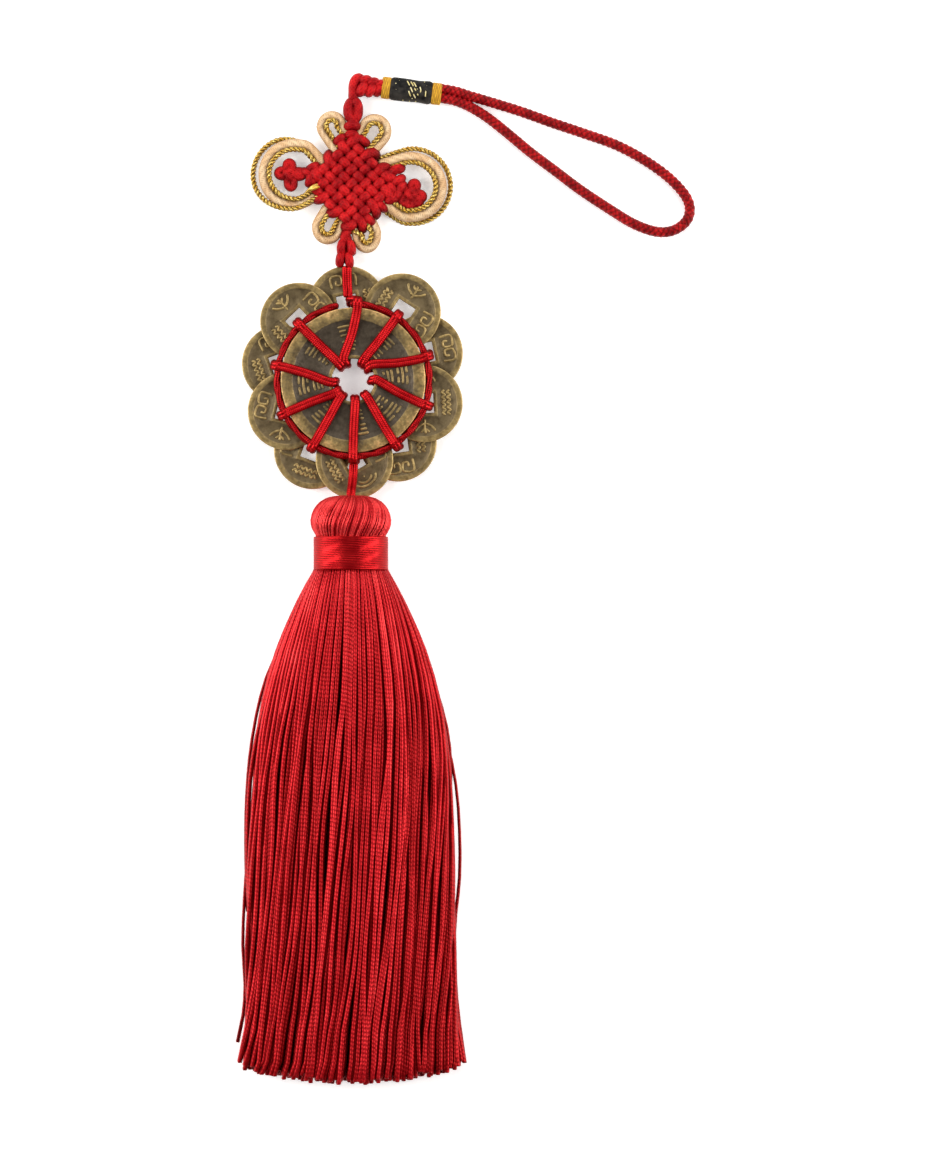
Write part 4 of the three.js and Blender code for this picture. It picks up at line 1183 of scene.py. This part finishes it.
def section_rim(section, inset):
    """The places on one cross-section's rim, round above and pressed flat where it lies on the table."""
    y, width, height = section
    half, rise = max(0.5, width / 2 - inset), max(0.3, height / 2 - inset)
    rim = []
    for i in range(RIM_PLACES):
        angle = 2 * math.pi * i / RIM_PLACES
        sine = math.sin(angle)
        lifted = -((-sine) ** 0.7) if sine < 0 else sine
        rim.append((TASSEL_X + half * math.cos(angle), y, inset + rise * (1 + lifted)))
    return rim


def rim_place(rim, share):
    """The place a share of the way round a rim, by distance."""
    lengths = [math.dist(here, ahead) for here, ahead in zip(rim, rim[1:] + rim[:1])]
    left = (share % 1) * sum(lengths)
    for i, length in enumerate(lengths):
        if left <= length:
            here, ahead = rim[i], rim[(i + 1) % len(rim)]
            return [a + (b - a) * left / length for a, b in zip(here, ahead)]
        left -= length
    return list(rim[0])


def bunching(share, down):
    """How the strands draw together and apart, as a share of the way round."""
    waves = [(9, 1.1, 1.1), (14, -2.2, 4.0), (22, 2.9, 2.2), (31, -3.6, 5.3)]
    angles = [(2 * math.pi * (count * share + turns * down) + phase, count) for count, turns, phase in waves]
    return sum(math.sin(angle) / count for angle, count in angles)


def tassel_strand(rims, share):
    """One strand from the neck to its cut end, wandering a little among its neighbours."""
    drift, sway, phase = random.gauss(0, DRIFT), random.gauss(0, SWAY), random.uniform(0, 6.28)
    points = []
    for step, rim in enumerate(rims):
        down = step / (len(rims) - 1)
        loose = min(1.0, 2.2 * down)
        at = share + SLANT * down**1.7 + drift * down + BUNCHED * bunching(share, down) * loose
        x, y, z = rim_place(rim, at)
        x += sway * loose * math.sin(phase + 6 * down)
        z += 0.6 * sway * loose * math.cos(phase + 7 * down)
        points.append([x, y, max(0.7, z), STRAND_THICK * (0.42 + 0.58 * min(1.0, 4 * down))])
    return points


def cut_off(points):
    """Cuts a strand's end: shorter at the sides of the tassel, and a little uneven."""
    x, y, z, radius = points[-1]
    away = min(1.0, abs(x - TASSEL_X) / TASSEL_HALF)
    y += SIDE_SHORTER * away**2 + random.uniform(-0.9, 1.5)
    kept = [tuple(point) for point in points if point[1] > y + 2]
    return kept + [(x, y + 0.4, z, radius * 1.05), (x, y, z, radius * 0.85)]


def loose_strand(places):
    points = [(x, y, 6.0 + 0.02 * y, 0.42 + 0.2 * step / len(places)) for step, (x, y) in enumerate(places)]
    return smooth(points, 6.0)


def tassel_strands():
    routes, tones = [], []
    sections = smooth(TASSEL_SECTIONS, SECTION_GAP)
    for (count, inset), tone in zip(TASSEL_RINGS, RING_TONES):
        rims = []
        for section in sections:
            closer = min(1.0, 0.25 + (4 - section[0]) / 40)  # the layers lie closer together near the band
            rims.append(section_rim(section, (inset + STRAND_THICK) * closer))
        for i in range(count):
            routes.append(cut_off(tassel_strand(rims, (i + random.uniform(-0.26, 0.26)) / count)))
            tones.append(tone + random.uniform(-0.12, 0.2))
    routes += [loose_strand(places) for places in LOOSE_STRANDS]
    tones += [0.1] * len(LOOSE_STRANDS)
    return routes, tones


def painted_light_on_ridges(mesh):
    """Paints light on each strand's outer ridge and near the band, and paints shade on the strands' sides."""
    tones = [0.0] * len(mesh.vertices)
    mesh.attributes["tone"].data.foreach_get("value", tones)
    middle = place(TASSEL_X, 0).x
    for i, vertex in enumerate(mesh.vertices):
        up = TASSEL_SPREAD * (vertex.co.z - TASSEL_MIDDLE)
        out = Vector((vertex.co.x - middle, 0.0, up)).normalized()
        near_band = max(0.0, 1 + vertex.co.y / MM / BAND_REACH)
        tones[i] += RIDGE_LIGHT * (vertex.normal.dot(out) - RIDGE_MEAN) + BAND_LIGHT * near_band
    mesh.attributes["tone"].data.foreach_set("value", tones)
    return mesh


def tassel(material):
    threads = head_threads()
    # The head's threads are painted lighter than the strands below, a painted light; each is a little lighter
    # or darker at random.
    head = swept("head_threads", threads, 4, tones=[random.uniform(0.68, 1.08) for _ in threads])
    routes, tones = tassel_strands()
    strands = painted_light_on_ridges(swept("strands", routes, 6, tones=tones))
    core = head_core()
    core.attributes.new("tone", "FLOAT", "POINT").data.foreach_set("value", [CORE_TONE] * len(core.vertices))
    mesh = bpy.data.meshes.new("tassel")
    bm = bmesh.new()
    for part in (head, core, strands):
        bm.from_mesh(part)
    bm.to_mesh(mesh)
    bm.free()
    piece("tassel", mesh, [material], "tassel_silk", "tassel")


BAND_WIDTHS = [(2.1, 10.4), (2.3, 10.9), (2.7, 11.1), (7.0, 11.1), (11.5, 11.1), (11.9, 10.9), (12.1, 10.4)]
BAND_PITCH = 0.75  # millimetres between two turns of its yarn
BAND_YARNS = 8  # wound side by side, so that they slant
# The band's sunk tone is a painted shade in the grooves between its turns.
BAND_RELIEF, BAND_SUNK_TONE = 0.022, 0.5


def band_height(turn, run):
    return BAND_RELIEF * math.cos(2 * math.pi * (run / BAND_PITCH + turn * BAND_YARNS)) - BAND_RELIEF


def tassel_band(material):
    route = smooth([(TASSEL_X, y, HEAD_AXIS, radius) for y, radius in BAND_WIDTHS], 0.1)
    mesh = swept("tassel_band", [route], 64, band_height, sunk_tone=BAND_SUNK_TONE)
    mesh = pressed_about(mesh, HEAD_FLATNESS, HEAD_AXIS)
    piece("tassel_band", mesh, [material], "satin_cord", "tassel_band")


# Table and lights
TABLE_SIZE = 1.5  # metres
SURROUND = 0.15  # strength of the even light from all round


def table():
    # A pale table whose surface glows a little, a painted light that keeps the shadows faint
    glow = {"Roughness": 0.9, "Emission_Color": linear("#FFFFFF"), "Emission_Strength": 0.38}
    material, tree, shader = new_material("glowing_table_white", **glow)
    shade = add(tree, "ValToRGB", {0: blotches(tree, 60.0)}, [(0.3, "#F4F3F1"), (0.7, "#F7F6F4")]).outputs[0]
    tree.links.new(shade, shader.inputs["Base Color"])
    mesh = bpy.data.meshes.new("table")
    bm = bmesh.new()
    bmesh.ops.create_grid(bm, x_segments=2, y_segments=2, size=TABLE_SIZE)
    bm.to_mesh(mesh)
    bm.free()
    mesh.materials.append(material)
    floor = bpy.data.objects.new("table", mesh)
    bpy.context.scene.collection.objects.link(floor)


LIGHTS = [
    # name, place in metres, width, length and power in watts
    ("left_softbox", (-1.0, 0.1, 0.46), 0.6, 1.5, 19.0),
    ("right_softbox", (1.0, 0.0, 0.46), 0.6, 1.5, 17.0),
    ("far_softbox", (0.05, 1.0, 0.6), 1.2, 0.6, 9.0),
]


def lights():
    for name, spot, wide, long, power in LIGHTS:
        data = bpy.data.lights.new(name, "AREA")
        data.shape, data.size, data.size_y, data.energy = "RECTANGLE", wide, long, power
        lamp = bpy.data.objects.new(name, data)
        lamp.location = spot
        lamp.rotation_euler = (-Vector(spot)).to_track_quat("-Z", "Y").to_euler()
        bpy.context.scene.collection.objects.link(lamp)
    world = bpy.data.worlds.new("studio")
    world.use_nodes = True
    world.node_tree.nodes["Background"].inputs[0].default_value = linear("#FFFFFF")
    world.node_tree.nodes["Background"].inputs[1].default_value = SURROUND
    bpy.context.scene.world = world
    bpy.context.scene.view_settings.view_transform = "Standard"


aim_camera()
red, satin, floss = knot_cord(), satin_cord(), tassel_floss()
cream, gold, yellow = cream_cord(), gold_thread(), yellow_thread()
brass = coin_brass("cast_brass_aged", "#6C5C3F", "#9A8352", "#BFA268")
# The large coin's edge colour is rubbed bare metal, painted lighter still as a highlight along its outer edge.
big_brass = coin_brass("cast_brass_rubbed", "#504537", "#98804F", "#E4B677")
hand_loop(red)
woven_knot(red)
ears(cream, gold)
flower_knots(red)
small_knots(red)
sleeve(brocade_silk(), brocade_yarn())
bindings(yellow)
small_coins(brass)
large_coin(big_brass)
lashing(satin)
hanging_strands(satin)
tassel(floss)
tassel_band(satin)
table()
lights()
